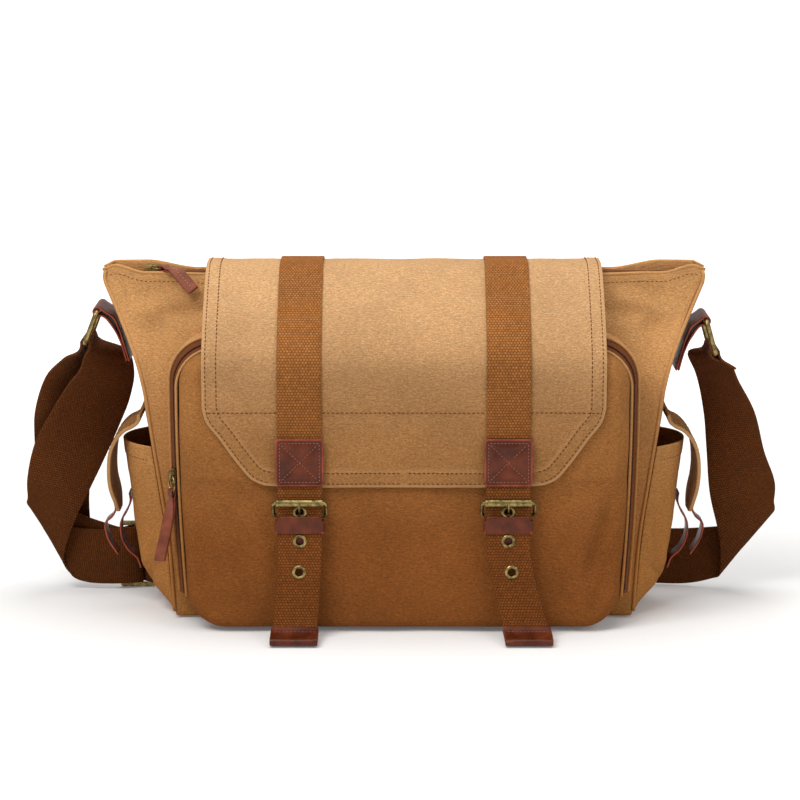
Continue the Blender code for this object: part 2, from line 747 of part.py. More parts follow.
TAB_BACK_Y = POCKET_FACE_Y - 3 * GAP - 2 * SNAP_THICK
TAB_FRONT_Y = TAB_BACK_Y - 2 * LEATHER - GAP
HEEL_LOOP = BUCKLE_WIRE + GAP + LEATHER
HEEL_Y = POCKET_FACE_Y - 1.5 * GAP - HEEL_LOOP
HEEL_Z = ROLLER_HEIGHT - BUCKLE_DROP
STRAP_FLAP_Y = FLAP_FACE_Y - GAP - WEB / 2
STRAP_HEEL_Y = HEEL_Y - HEEL_LOOP - GAP - WEB / 2
STRAP_TAB_Y = TAB_FRONT_Y - 2 * GAP - EYELET_FLANGE - WEB / 2
STRAP_ROLLER_Y = (STRAP_FLAP_Y + STRAP_HEEL_Y) / 2
ROLLER_Y = STRAP_ROLLER_Y - WEB / 2 - 2 * GAP - ROLLER_RADIUS
STRAP_END_Y = POCKET_FACE_Y - STRAP_TIP_REACH
STRAP_END_Z = WEB / 2 + 2 * GAP + LEATHER + 0.5 * MM

strap_path = shifted(flap_profile, -(GAP + WEB / 2))[1:-1] + smoothed([
    Vector((STRAP_FLAP_Y, FLAP_BOTTOM)),
    Vector((STRAP_ROLLER_Y, ROLLER_HEIGHT)),
    Vector((STRAP_HEEL_Y, HEEL_Z)),
    Vector((STRAP_TAB_Y, SNAP_HEIGHT)),
    Vector((STRAP_TAB_Y - 0.5 * MM, SNAP_HEIGHT - 22 * MM)),
    Vector((STRAP_TAB_Y - 2.5 * MM, 28 * MM)),
    Vector((STRAP_TAB_Y - 9 * MM, 12 * MM)),
    Vector((STRAP_TAB_Y - 19 * MM, 5.5 * MM)),
    Vector((STRAP_END_Y, STRAP_END_Z)),
], 4 * MM)


def strap_at(z):
    """The strap's middle at height z on its front run, and its upward travel there."""
    for above, below in zip(strap_path, strap_path[1:]):
        if above.x < STRAP_FLAP_Y + GAP and above.y >= z > below.y:
            share = (above.y - z) / (above.y - below.y)
            return above.lerp(below, share), (above - below).normalized()
    return strap_path[-1], (strap_path[-2] - strap_path[-1]).normalized()


def rounded_box(half_x, half_y, radius, steps=3):
    """The corners of a rounded rectangle about the origin."""
    points = []
    for quarter, (sx, sy) in enumerate([(1, 1), (-1, 1), (-1, -1), (1, -1)]):
        centre = (sx * (half_x - radius), sy * (half_y - radius))
        points += arc(centre, radius, quarter * 90, quarter * 90 + 90, steps)
    return points


def strap_x(side_name, point):
    slack = max(SNAP_HEIGHT - point.y, 0) / SNAP_HEIGHT
    on_front = 1 if point.x < STRAP_FLAP_Y + GAP else 0
    return SIDES[side_name] * STRAP_X + STRAP_DRIFT[side_name] * slack ** 1.3 * on_front


def flap_strap(side_name):
    def place(across, point):
        return Vector((strap_x(side_name, point) - across * STRAP_HALF_WIDTH, point.x, point.y))

    strap = strip(side_name + "_strap", strap_path, place, WEB, WEB_BROWN, columns=2)

    flange = WEB / 2 + GAP
    barrel = EYELET_HOLE + EYELET_BARREL
    half = [(EYELET_HOLE, flange + EYELET_FLANGE), (EYELET_RADIUS, flange + EYELET_FLANGE),
            (EYELET_RADIUS, flange), (barrel, flange)]
    profile = half + [(radius, -height) for radius, height in reversed(half)]
    for number, drop in enumerate(EYELET_DROPS):
        point, travel = strap_at(ROLLER_HEIGHT - drop)
        centre = (strap_x(side_name, point), point.x, point.y)
        seat = frame_matrix(centre, (1, 0, 0), (0, travel.x, travel.y))
        turned(f"{side_name}_eyelet_{number + 1}", profile, 16, BRASS, seat)
        bpy.ops.mesh.primitive_cylinder_add(vertices=16, radius=barrel + GAP, depth=12 * MM)
        hole = bpy.context.object
        hole.name = f"{side_name}_eyelet_hole_{number + 1}"
        for holder in list(hole.users_collection):
            holder.objects.unlink(hole)
        cutters.objects.link(hole)
        hole.matrix_world = seat
        boolean(strap, hole, "DIFFERENCE")

    tip_count = 0
    length = 0.0
    while length < TIP_LENGTH:
        tip_count += 1
        length += (strap_path[-tip_count] - strap_path[-tip_count - 1]).length
    tail = strap_path[-tip_count - 1:]
    spread = WEB / 2 + GAP + LEATHER / 2
    travel = (tail[-1] - tail[-2]).normalized()
    heading = math.degrees(math.atan2(travel.y, travel.x))
    end = arc(tail[-1] + travel * GAP, spread, heading - 90, heading + 90, 6)
    tip_path = shifted(tail, -spread) + end + list(reversed(shifted(tail, spread)))
    spine = [strap_x(side_name, point) for point in tail]
    order = spine + [spine[-1]] * len(end) + list(reversed(spine))

    def tip_place(across, share):
        number = round(share * (len(tip_path) - 1))
        x = order[number] - (2 * across - 1) * (STRAP_HALF_WIDTH + 1 * MM)
        return Vector((x, tip_path[number].x, tip_path[number].y))

    sheet(side_name + "_strap_tip", 1, len(tip_path) - 1, tip_place, LEATHER, LEATHER_RED, offset=0)


def buckle(side_name):
    x = SIDES[side_name] * STRAP_X
    seat = FLAP_FACE_Y - 2 * GAP - WEB - PATCH_LEATHER / 2
    middle = FLAP_BOTTOM + 2 * MM + PATCH_HEIGHT / 2
    upright = frame_matrix((x, seat, middle), (1, 0, 0), (0, 0, 1))
    square = rounded_box(STRAP_HALF_WIDTH + PATCH_OVERHANG, PATCH_HEIGHT / 2, 3 * MM)
    outline_solid(side_name + "_patch", [square], PATCH_LEATHER / 2, LEATHER_RED, upright)

    half_frame = STRAP_HALF_WIDTH + 2 * MM + BUCKLE_WIRE
    corner = 2.2 * MM
    height = math.hypot(ROLLER_HEIGHT - HEEL_Z, ROLLER_Y - HEEL_Y)
    tilt = Vector((0, ROLLER_Y - HEEL_Y, ROLLER_HEIGHT - HEEL_Z)).normalized()
    centre = Vector((x, (ROLLER_Y + HEEL_Y) / 2, (ROLLER_HEIGHT + HEEL_Z) / 2))
    rim = rounded_box(half_frame, height / 2, corner)
    bent = [centre + Vector((point.x, 0, 0)) + tilt * point.y for point in rim]
    wire(side_name + "_buckle_frame", bent, BUCKLE_WIRE, BRASS, closed=True)

    bore = BUCKLE_WIRE + GAP
    roll = half_frame - corner - GAP
    profile = [(bore, roll), (ROLLER_RADIUS, roll), (ROLLER_RADIUS, -roll), (bore, -roll)]
    turned(side_name + "_roller", profile, 16, BRASS,
           frame_matrix((x, ROLLER_Y, ROLLER_HEIGHT), (0, 1, 0), (0, 0, 1)))

    hook = BUCKLE_WIRE + 0.75 * GAP + PRONG_WIRE
    eye = strap_at(ROLLER_HEIGHT - EYELET_DROPS[0])[0]
    clear = ROLLER_RADIUS + 2 * GAP + PRONG_WIRE
    path = arc((HEEL_Y, HEEL_Z), hook, 200, 440, 12) + smoothed([
        eye,
        Vector((eye.x - 3.2 * MM, eye.y + 0.5 * MM)),
        Vector((ROLLER_Y - clear * 0.6, ROLLER_HEIGHT - clear * 1.05)),
        Vector((ROLLER_Y - clear * 1.02, ROLLER_HEIGHT - clear * 0.4)),
        Vector((ROLLER_Y - clear * 1.05, ROLLER_HEIGHT + 1 * MM)),
    ], 1.5 * MM)
    wire(side_name + "_prong", [(x, point.x, point.y) for point in path], PRONG_WIRE, BRASS)

    back_layer = TAB_BACK_Y - LEATHER / 2
    front_layer = TAB_FRONT_Y + LEATHER / 2
    tab_heights = [TAB_BOTTOM, (TAB_BOTTOM + HEEL_Z) / 2 - 4 * MM, HEEL_Z - 13 * MM]
    tab_path = [Vector((back_layer, z)) for z in tab_heights]
    tab_path += arc((HEEL_Y, HEEL_Z), BUCKLE_WIRE + GAP + LEATHER / 2, -60, 190, 12)
    tab_path += [Vector((front_layer, z)) for z in reversed(tab_heights)]

    def tab_place(across, point):
        return Vector((x + across * TAB_HALF_WIDTH, point.x, point.y))

    tab = strip(side_name + "_buckle_tab", tab_path, tab_place, LEATHER, LEATHER_RED)
    slot = EYELET_RADIUS + GAP
    slot_cutter = block(
        side_name + "_prong_slot",
        (x - slot, HEEL_Y - 6 * MM, HEEL_Z - 5.5 * MM),
        (x + slot, HEEL_Y + 6 * MM, HEEL_Z + 7 * MM),
        BRASS,
        cutters,
    )
    boolean(tab, slot_cutter, "DIFFERENCE")

    keeper_top = HEEL_Z - HEEL_LOOP - GAP
    keeper_back = POCKET_FACE_Y - GAP
    keeper_front = STRAP_TAB_Y - WEB / 2 - 1.5 * GAP - LEATHER
    deep = (keeper_back - keeper_front) / 2
    wide = STRAP_HALF_WIDTH + 2 * GAP + LEATHER
    lying = Matrix.Translation((x, (keeper_back + keeper_front) / 2, keeper_top - KEEPER_HEIGHT / 2))
    band = [rounded_box(wide, deep, 2.2 * MM), rounded_box(wide - LEATHER, deep - LEATHER, 0.6 * MM)]
    outline_solid(side_name + "_keeper", band, KEEPER_HEIGHT / 2, LEATHER_RED, lying)

    snap_y = POCKET_FACE_Y - GAP - SNAP_THICK / 2
    for piece in ("socket", "cap"):
        bpy.ops.mesh.primitive_cylinder_add(
            vertices=20, radius=SNAP_RADIUS, depth=SNAP_THICK, location=(x, snap_y, SNAP_HEIGHT),
            rotation=(math.pi / 2, 0, 0))
        snap = bpy.context.object
        snap.name = f"{side_name}_snap_{piece}"
        for holder in list(snap.users_collection):
            holder.objects.unlink(snap)
        bag.objects.link(snap)
        snap.data.materials.append(BRASS)
        snap_y -= GAP + SNAP_THICK


for side_name in SIDES:
    flap_strap(side_name)
    buckle(side_name)


# Side pockets. Paths run in the plane of the bag, as (distance out from the middle, z).

def side_bulge(z):
    rise = (z - SIDE_POCKET_BOTTOM) / (SIDE_POCKET_TOP - SIDE_POCKET_BOTTOM)
    return SIDE_POCKET_BULGE * (1 - (1 - min(rise / 0.25, 1)) ** 2) * (1 - 0.25 * rise)


def side_wall(z):
    return half_width(z) + GAP + CANVAS + side_bulge(z)


def side_pocket(side_name, side):
    def place(across, share):
        z = SIDE_POCKET_BOTTOM + (SIDE_POCKET_TOP - SIDE_POCKET_BOTTOM) * share
        spread = 2 * across - 1
        out = half_width(z) + GAP + CANVAS + side_bulge(z) * (1 - abs(spread) ** 2.6)
        return Vector((side * out, side * spread * (half_depth(z) - SIDE_POCKET_SEAM), z))

    sheet(side_name + "_side_pocket", 10, 12, place, CANVAS, CANVAS_TAN)

    root = Vector((half_width(SIDE_FLAP_HEIGHT) + GAP + SIDE_FLAP_CLOTH / 2, SIDE_FLAP_HEIGHT))
    fall = [(0, 0), (0.4, -5), (5, -9.5), (12, -13), (19, -20), (24.5, -31), (26.5, -46), (26, -62),
            (22.5, -77), (21, -88)]
    flap_path = smoothed([root + Vector(point) * MM for point in fall], 8 * MM)
    tip_z = flap_path[-1].y

    def flap_place(across, point):
        share = (SIDE_FLAP_HEIGHT - point.y) / (SIDE_FLAP_HEIGHT - tip_z)
        wide = SIDE_FLAP_HALF_WIDTH + (SIDE_FLAP_TIP_HALF_WIDTH - SIDE_FLAP_HALF_WIDTH) * share
        wide *= math.sqrt(max(1 - (max(share - 0.75, 0) / 0.27) ** 2, 0))
        return Vector((side * point.x, side * across * wide, point.y))

    strip(side_name + "_side_flap", flap_path, flap_place, SIDE_FLAP_CLOTH, FLAP_TAN, columns=4)

    lay = SIDE_FLAP_CLOTH / 2 + GAP + LEATHER / 2
    hang = [(26 + 0.2, -62), (22.5 + 0.4, -77), (21 + 0.3, -88), (24, -93), (29.5, -98), (28.5, -111),
            (20, -126)]
    strap_points = smoothed([root + Vector(point) * MM + Vector((lay, 0)) for point in hang], 6 * MM)

    def narrow(across, point):
        return Vector((side * point.x, side * across * SIDE_STRAP_HALF_WIDTH, point.y))

    strip(side_name + "_side_flap_strap", strap_points, narrow, LEATHER, LEATHER_RED)

    rest = GAP * 1.5 + LEATHER / 2
    stand = [(98, rest), (91, rest), (83, 5 * MM), (73, 11.5 * MM), (59, 13 * MM), (48, 9 * MM),
             (40, rest + 0.5 * MM), (32, rest)]
    loop_points = smoothed([Vector((side_wall(z * MM) + out, z * MM)) for z, out in stand], 5 * MM)
    strip(side_name + "_side_pocket_loop", loop_points, narrow, LEATHER, LEATHER_RED)


for side_name, side in SIDES.items():
    side_pocket(side_name, side)


# Shoulder strap rings and tabs

RING_TOP = {}
RING_FOOT = {}
for side_name in SIDES:
    top_z = BODY_HEIGHT - RING_TOP_DROP[side_name]
    foot_z = BODY_HEIGHT - RING_FOOT_DROP[side_name]
    RING_TOP[side_name] = (half_width(top_z) + RING_TOP_OUT[side_name], top_z)
    RING_FOOT[side_name] = (half_width(foot_z) + RING_FOOT_OUT[side_name], foot_z)


def ring_and_tab(side_name, side):
    top, foot = Vector(RING_TOP[side_name]), Vector(RING_FOOT[side_name])
    half_y = SHOULDER_HALF_WIDTH + RING_PLAY + RING_WIRE
    drop = (foot - top).length
    rim = rounded_box(half_y, drop / 2, 3 * MM)
    bent = []
    for point in rim:
        place = top.lerp(foot, 0.5 - point.y / drop)
        bent.append((side * place.x, point.x, place.y))
    wire(side_name + "_ring", bent, RING_WIRE, BRASS, closed=True)

    lay = GAP + LEATHER / 2
    second = lay + LEATHER + GAP
    foot_z = top.y - RING_TAB_LENGTH

    def on_gusset(z, out):
        return Vector((half_width(z) + out, z))

    path = [on_gusset(foot_z, lay), on_gusset(top.y - 26 * MM, lay), on_gusset(top.y - 14 * MM, lay),
            on_gusset(top.y - 6 * MM, lay + 1.3 * MM)]
    path += arc(top, RING_WIRE + GAP + LEATHER / 2, 140, -110, 12)
    path += [on_gusset(top.y - 14 * MM, second + 2 * MM), on_gusset(top.y - 25 * MM, second + 0.1 * MM),
             on_gusset(foot_z, second)]

    def place(across, point):
        return Vector((side * point.x, side * across * RING_TAB_HALF_WIDTH, point.y))

    strip(side_name + "_ring_tab", path, place, LEATHER, LEATHER_RED)


for side_name, side in SIDES.items():
    ring_and_tab(side_name, side)


# Shoulder strap: stations of its rear or inner edge and its front or outer edge

def pair(side_name, inner, outer):
    """A station on a fall. Each edge is so far out from the bag's side and back from its rear corner, in
    millimetres, and so high as a share of the height of the ring's foot."""
    ends = []
    for out, back, share in (inner, outer):
        z = share * RING_FOOT[side_name][1]
        ends += [SIDES[side_name] * (half_width(z) + out * MM), BASE_HALF_DEPTH + back * MM, z]
    return Vector(ends)


def upright(x, back, foot):
    """A station behind the bag, where the webbing stands on its edge."""
    y = BASE_HALF_DEPTH + back
    return Vector((x, y, foot, x, y, foot + 2 * SHOULDER_HALF_WIDTH))


def wrap(side_name, start, end):
    """Stations round the foot of a ring, its angles measured from straight out."""
    side = SIDES[side_name]
    turns = arc(RING_FOOT[side_name], RING_WIRE + GAP + WEB / 2, start, end, 6)
    wide = SHOULDER_HALF_WIDTH
    return [Vector((side * p.x, wide, p.y, side * p.x, -wide, p.y)) for p in turns]


ADJUSTER_FOOT = 4.8 * MM
ADJUSTER_LOOP = ADJUSTER_WIRE * math.sqrt(2) + GAP + WEB / 2
ADJUSTER_OVER_BARS = ADJUSTER_WIRE * math.sqrt(2) + 3 * GAP + WEB / 2
ADJUSTER_OVER_MIDDLE = ADJUSTER_LOOP + WEB + 3 * GAP


def standing(x, y):
    """A station where the webbing stands on its edge in the adjuster."""
    return Vector((x, y, ADJUSTER_FOOT, x, y, ADJUSTER_FOOT + 2 * SHOULDER_HALF_WIDTH))


right_fall = [
    pair("right", (29.7, -26.4, 0.937), (51.5, -71.8, 0.937)),
] + wrap("right", -15, 195) + [
    pair("right", (27.9, -26, 0.919), (49.7, -71, 0.923)),
    pair("right", (39.1, -18, 0.733), (78, -50, 0.751)),
    pair("right", (48.3, -16, 0.57), (96, -32, 0.575)),
    pair("right", (58.3, -15, 0.389), (111.5, -20, 0.448)),
    pair("right", (75.2, -16, 0.183), (114.6, -17, 0.366)),
    pair("right", (79.5, -11, 0.059), (115.5, -11, 0.308)),
    pair("right", (75, -6, 0.036), (97, -6, 0.262)),
    pair("right", (59.5, -2, 0.014), (70, -2, 0.243)),
    pair("right", (45.8, 2, 0.005), (42.2, 2, 0.231)),
    pair("right", (12.8, 6.5, 0.005), (6.2, 6.5, 0.231)),
]
behind = [
    upright(BASE_HALF_WIDTH * 0.77, 9 * MM, 1 * MM),
    upright(0, 10 * MM, 1 * MM),
    upright(-BASE_HALF_WIDTH * 0.77, 9 * MM, 1 * MM),
    upright(-BASE_HALF_WIDTH - 8 * MM, 5.5 * MM, 3 * MM),
]
halfway = ADJUSTER_Y + (ADJUSTER_OVER_MIDDLE - ADJUSTER_OVER_BARS) / 2
threaded = [
    standing(ADJUSTER_X + ADJUSTER_PITCH * 1.5, ADJUSTER_Y + 1.6 * MM),
    standing(ADJUSTER_X + ADJUSTER_PITCH, ADJUSTER_Y - ADJUSTER_OVER_BARS),
    standing(ADJUSTER_X + ADJUSTER_PITCH / 2, halfway),
    *[standing(*point) for point in arc((ADJUSTER_X, ADJUSTER_Y), ADJUSTER_OVER_MIDDLE, 60, 120, 2)],
    standing(ADJUSTER_X - ADJUSTER_PITCH / 2, halfway),
    standing(ADJUSTER_X - ADJUSTER_PITCH, ADJUSTER_Y - ADJUSTER_OVER_BARS),
]
rear_layer = [
    pair("left", (66.8, -6, 0.035), (55.3, -6, 0.248)),
    pair("left", (75.2, -6, 0.052), (80.7, -6, 0.291)),
    pair("left", (80.9, -5, 0.074), (108.6, -5, 0.365)),
    pair("left", (86.3, 1, 0.058), (113.9, 1, 0.352)),
    pair("left", (81.6, 7, 0.083), (111.2, 7, 0.378)),
    pair("left", (70, 6, 0.339), (111.2, 3, 0.448)),
    pair("left", (61, -2, 0.483), (105.9, -10, 0.57)),
    pair("left", (49.6, -5, 0.635), (98.3, -24, 0.7)),
    pair("left", (41, -6, 0.765), (82.4, -34, 0.835)),
    pair("left", (35.7, -18, 0.887), (58.3, -58, 0.926)),
]
front_layer = [
    pair("left", (16.4, -26, 0.891), (39.3, -70, 0.926)),
    pair("left", (25.3, -18, 0.757), (59.2, -56, 0.839)),
    pair("left", (39.7, -17, 0.622), (83.1, -40, 0.704)),
    pair("left", (56, -17, 0.483), (103.9, -28, 0.57)),
    pair("left", (66.6, -19, 0.381), (116, -24, 0.44)),
    pair("left", (80.3, -20.5, 0.288), (118.4, -21.5, 0.377)),
    pair("left", (98.4, -16, 0.121), (118.6, -16, 0.324)),
    pair("left", (97.3, -11.5, 0.073), (109.5, -11.5, 0.275)),
    pair("left", (92.7, -11, 0.042), (96, -11, 0.25)),
    pair("left", (82.2, -11, 0.026), (81.3, -11, 0.238)),
    pair("left", (61.5, -11, 0.02), (58.6, -11, 0.232)),
]
ending = [standing(ADJUSTER_X - ADJUSTER_PITCH, ADJUSTER_Y - ADJUSTER_OVER_BARS - WEB - 2 * GAP)]
for point in arc((ADJUSTER_X, ADJUSTER_Y), ADJUSTER_LOOP, -75, 105, 7):
    ending.append(standing(point.x, point.y))

route = smoothed(
    right_fall + behind + threaded + rear_layer + wrap("left", -15, 195) + front_layer + ending, 18 * MM)


def shoulder_place(across, share):
    station = route[round(share * (len(route) - 1))]
    inner, outer = Vector(station[:3]), Vector(station[3:])
    return inner.lerp(outer, across)


sheet("shoulder_strap", 2, len(route) - 1, shoulder_place, WEB, STRAP_DARK, offset=0)

window = ADJUSTER_PITCH / 2 - ADJUSTER_WIRE
open_height = 2 * SHOULDER_HALF_WIDTH + 4 * GAP
adjuster_middle = ADJUSTER_FOOT + SHOULDER_HALF_WIDTH
rail = adjuster_middle - open_height / 2 - GAP
frame_outline = [rounded_box(ADJUSTER_PITCH + ADJUSTER_WIRE, open_height / 2 + rail, 2 * MM)]
for middle in (-ADJUSTER_PITCH / 2, ADJUSTER_PITCH / 2):
    hole = rounded_box(window, open_height / 2, 0.5 * MM, 1)
    frame_outline.append([Vector((point.x + middle, point.y)) for point in hole])
outline_solid("strap_adjuster", frame_outline, ADJUSTER_WIRE, BRASS,
              frame_matrix((ADJUSTER_X, ADJUSTER_Y, adjuster_middle), (1, 0, 0), (0, 0, 1)))
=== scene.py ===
"""Looks of a washed canvas messenger bag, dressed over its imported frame. Shapes are drawn in millimetres."""

import math

import bmesh
import bpy
from mathutils import Matrix, Vector, noise


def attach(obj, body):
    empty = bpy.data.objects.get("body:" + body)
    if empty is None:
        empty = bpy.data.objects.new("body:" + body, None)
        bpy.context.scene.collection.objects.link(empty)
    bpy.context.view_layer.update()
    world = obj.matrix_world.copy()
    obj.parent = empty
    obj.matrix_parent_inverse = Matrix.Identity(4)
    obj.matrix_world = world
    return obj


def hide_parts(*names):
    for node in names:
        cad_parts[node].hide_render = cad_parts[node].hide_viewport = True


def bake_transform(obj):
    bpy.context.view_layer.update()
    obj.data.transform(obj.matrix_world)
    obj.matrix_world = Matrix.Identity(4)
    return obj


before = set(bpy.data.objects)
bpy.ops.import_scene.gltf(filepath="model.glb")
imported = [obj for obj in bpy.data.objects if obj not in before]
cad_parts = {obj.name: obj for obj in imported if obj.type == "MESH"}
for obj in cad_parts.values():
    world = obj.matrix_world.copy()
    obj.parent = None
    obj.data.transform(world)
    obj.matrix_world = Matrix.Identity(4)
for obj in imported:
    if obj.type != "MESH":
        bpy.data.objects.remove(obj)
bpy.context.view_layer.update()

MM = 0.001
SIDES = {"left": -1, "right": 1}
scene = bpy.context.scene


# Finishes

def colour(code):
    """An sRGB hex colour as linear RGBA."""
    parts = [int(code[i:i + 2], 16) / 255 for i in (1, 3, 5)]
    return [p / 12.92 if p <= 0.04045 else ((p + 0.055) / 1.055) ** 2.4 for p in parts] + [1.0]


def node(tree, kind, inputs=None, **settings):
    made = tree.nodes.new("ShaderNode" + kind)
    for name, value in settings.items():
        setattr(made, name, value)
    for name, value in (inputs or {}).items():
        if isinstance(value, bpy.types.NodeSocket):
            tree.links.new(value, made.inputs[name])
        else:
            made.inputs[name].default_value = value
    return made


def new_finish(name):
    finish = bpy.data.materials.new(name)
    finish.use_nodes = True
    finish.node_tree.nodes.clear()
    return finish, finish.node_tree


def lit_by_height(tree, place, low, high, bottom, top):
    """A tone that grows lighter with height: painted light, standing in for the light from above and the shade lower
    down.
    """
    height = node(tree, "SeparateXYZ", {0: place}).outputs["Z"]
    share = node(tree, "MapRange", {"Value": height, "From Min": bottom, "From Max": top},
                 interpolation_type="SMOOTHSTEP")
    return node(tree, "Mix", {0: share.outputs[0], 6: colour(low), 7: colour(high)}, data_type="RGBA").outputs[2]


def product(tree, tone, shades):
    """A tone multiplied by several noises, each given as its source and the two ends of its range."""
    for source, low, high in shades:
        level = node(tree, "MapRange", {"Value": source, "From Min": 0.32, "From Max": 0.7, "To Min": low,
                                        "To Max": high})
        tone = node(tree, "Mix", {0: 1.0, 6: tone, 7: level.outputs[0]}, data_type="RGBA",
                    blend_type="MULTIPLY").outputs[2]
    return tone


def canvas(name, low, high, bottom, top):
    """Washed cotton duck. It is matt and a little hairy, mottled by the wash, with slubs along the weft.
    Its threads are about 0.6 mm apart, drawn as flecks of 1 to 2.6 mm so that they show."""
    finish, tree = new_finish(name)
    cut = node(tree, "UVMap", uv_map="cut").outputs[0]
    place = node(tree, "TexCoord").outputs["Object"]
    weave_space = node(tree, "Mapping", {"Vector": cut, "Rotation": (0.0, 0.0, 0.6),
                                         "Scale": (380.0, 1000.0, 1.0)})
    weave = node(tree, "TexNoise", {"Vector": weave_space.outputs[0], "Scale": 1.0, "Detail": 2.0,
                                    "Roughness": 0.65})
    slub_space = node(tree, "Mapping", {"Vector": cut, "Scale": (150.0, 620.0, 1.0)})
    slub = node(tree, "TexNoise", {"Vector": slub_space.outputs[0], "Scale": 1.0, "Detail": 3.0,
                                   "Roughness": 0.7})
    hair = node(tree, "TexNoise", {"Vector": place, "Scale": 900.0, "Detail": 2.0})
    wash = node(tree, "TexNoise", {"Vector": place, "Scale": 13.0, "Detail": 4.0, "Roughness": 0.62})
    # Painted light: the ground tone is lighter towards the top and darker below, standing in for the top light.
    toned = product(tree, lit_by_height(tree, place, low, high, bottom, top), [
        (wash.outputs["Fac"], 0.84, 1.06), (slub.outputs["Fac"], 0.86, 1.16), (weave.outputs["Fac"], 0.76, 1.2),
        (hair.outputs["Fac"], 0.82, 1.14)])
    wear = node(tree, "Attribute", attribute_name="wear")
    rubbed = node(tree, "Mix", {0: wear.outputs["Fac"], 6: toned, 7: colour(high)}, data_type="RGBA")
    grain = node(tree, "Math", {0: slub.outputs["Fac"], 1: weave.outputs["Fac"]}, operation="ADD")
    bump = node(tree, "Bump", {"Height": grain.outputs[0], "Strength": 0.7, "Distance": 0.0008})
    shader = node(tree, "BsdfPrincipled", {
        "Base Color": rubbed.outputs[2], "Normal": bump.outputs[0], "Roughness": 0.95,
        "Specular IOR Level": 0.08, "IOR": 1.5})
    node(tree, "OutputMaterial", {"Surface": shader.outputs[0]})
    return finish


def webbing(name, low, high, bottom, top, pick, row):
    """Cotton webbing in a coarse basket weave: raised picks in offset rows, with dark gaps between them."""
    finish, tree = new_finish(name)
    cut = node(tree, "UVMap", uv_map="cut").outputs[0]
    place = node(tree, "TexCoord").outputs["Object"]
    in_mm = node(tree, "Mapping", {"Vector": cut, "Scale": (1000.0, 1000.0, 1.0)})
    picks = node(tree, "TexBrick", {
        "Vector": in_mm.outputs[0], "Scale": 1.0, "Mortar Size": row * 0.22, "Mortar Smooth": 0.9,
        "Brick Width": pick, "Row Height": row, "Color1": (0.95, 0.95, 0.95, 1.0),
        "Color2": (0.7, 0.7, 0.7, 1.0), "Mortar": (0.4, 0.4, 0.4, 1.0)}, offset=0.5)
    hair = node(tree, "TexNoise", {"Vector": place, "Scale": 700.0, "Detail": 2.0})
    wash = node(tree, "TexNoise", {"Vector": place, "Scale": 16.0, "Detail": 3.0})
    # Painted light: the ground tone is lighter towards the top and darker below, standing in for the top light.
    woven = node(tree, "Mix", {0: 1.0, 6: lit_by_height(tree, place, low, high, bottom, top), 7: picks.outputs["Color"]},
                 data_type="RGBA", blend_type="MULTIPLY")
    toned = product(tree, woven.outputs[2], [(hair.outputs["Fac"], 0.85, 1.15), (wash.outputs["Fac"], 0.9, 1.1)])
    height = node(tree, "Math", {0: 1.0, 1: picks.outputs["Fac"]}, operation="SUBTRACT")
    bump = node(tree, "Bump", {"Height": height.outputs[0], "Strength": 0.8, "Distance": 0.0007})
    shader = node(tree, "BsdfPrincipled", {
        "Base Color": toned, "Normal": bump.outputs[0], "Roughness": 0.9, "Specular IOR Level": 0.08,
        "IOR": 1.5})
    node(tree, "OutputMaterial", {"Surface": shader.outputs[0]})
    return finish


def leather(name, tone, shade, roughness):
    """Waxed cowhide: smooth and slightly glossy, with a fine pebbled grain of about 0.8 mm and darker patches."""
    finish, tree = new_finish(name)
    place = node(tree, "TexCoord").outputs["Object"]
    pebble = node(tree, "TexVoronoi", {"Vector": place, "Scale": 1250.0}, feature="SMOOTH_F1")
    crease = node(tree, "TexNoise", {"Vector": place, "Scale": 160.0, "Detail": 4.0, "Roughness": 0.6})
    patch = node(tree, "TexNoise", {"Vector": place, "Scale": 70.0, "Detail": 3.0})
    worn = node(tree, "MapRange", {"Value": patch.outputs["Fac"], "From Min": 0.35, "From Max": 0.68})
    ground = node(tree, "Mix", {0: worn.outputs[0], 6: colour(shade), 7: colour(tone)}, data_type="RGBA")
    lined = node(tree, "MapRange", {"Value": crease.outputs["Fac"], "From Min": 0.3, "From Max": 0.7,
                                    "To Min": 0.8, "To Max": 1.15})
    toned = node(tree, "Mix", {0: 1.0, 6: ground.outputs[2], 7: lined.outputs[0]}, data_type="RGBA",
                 blend_type="MULTIPLY")
    height = node(tree, "Math", {0: pebble.outputs["Distance"], 1: crease.outputs["Fac"]}, operation="ADD")
    bump = node(tree, "Bump", {"Height": height.outputs[0], "Strength": 0.3, "Distance": 0.0004})
    gloss = node(tree, "MapRange", {"Value": patch.outputs["Fac"], "From Min": 0.3, "From Max": 0.7,
                                    "To Min": roughness - 0.07, "To Max": roughness + 0.08})
    shader = node(tree, "BsdfPrincipled", {
        "Base Color": toned.outputs[2], "Normal": bump.outputs[0], "Roughness": gloss.outputs[0],
        "Specular IOR Level": 0.24, "IOR": 1.5})
    node(tree, "OutputMaterial", {"Surface": shader.outputs[0]})
    return finish


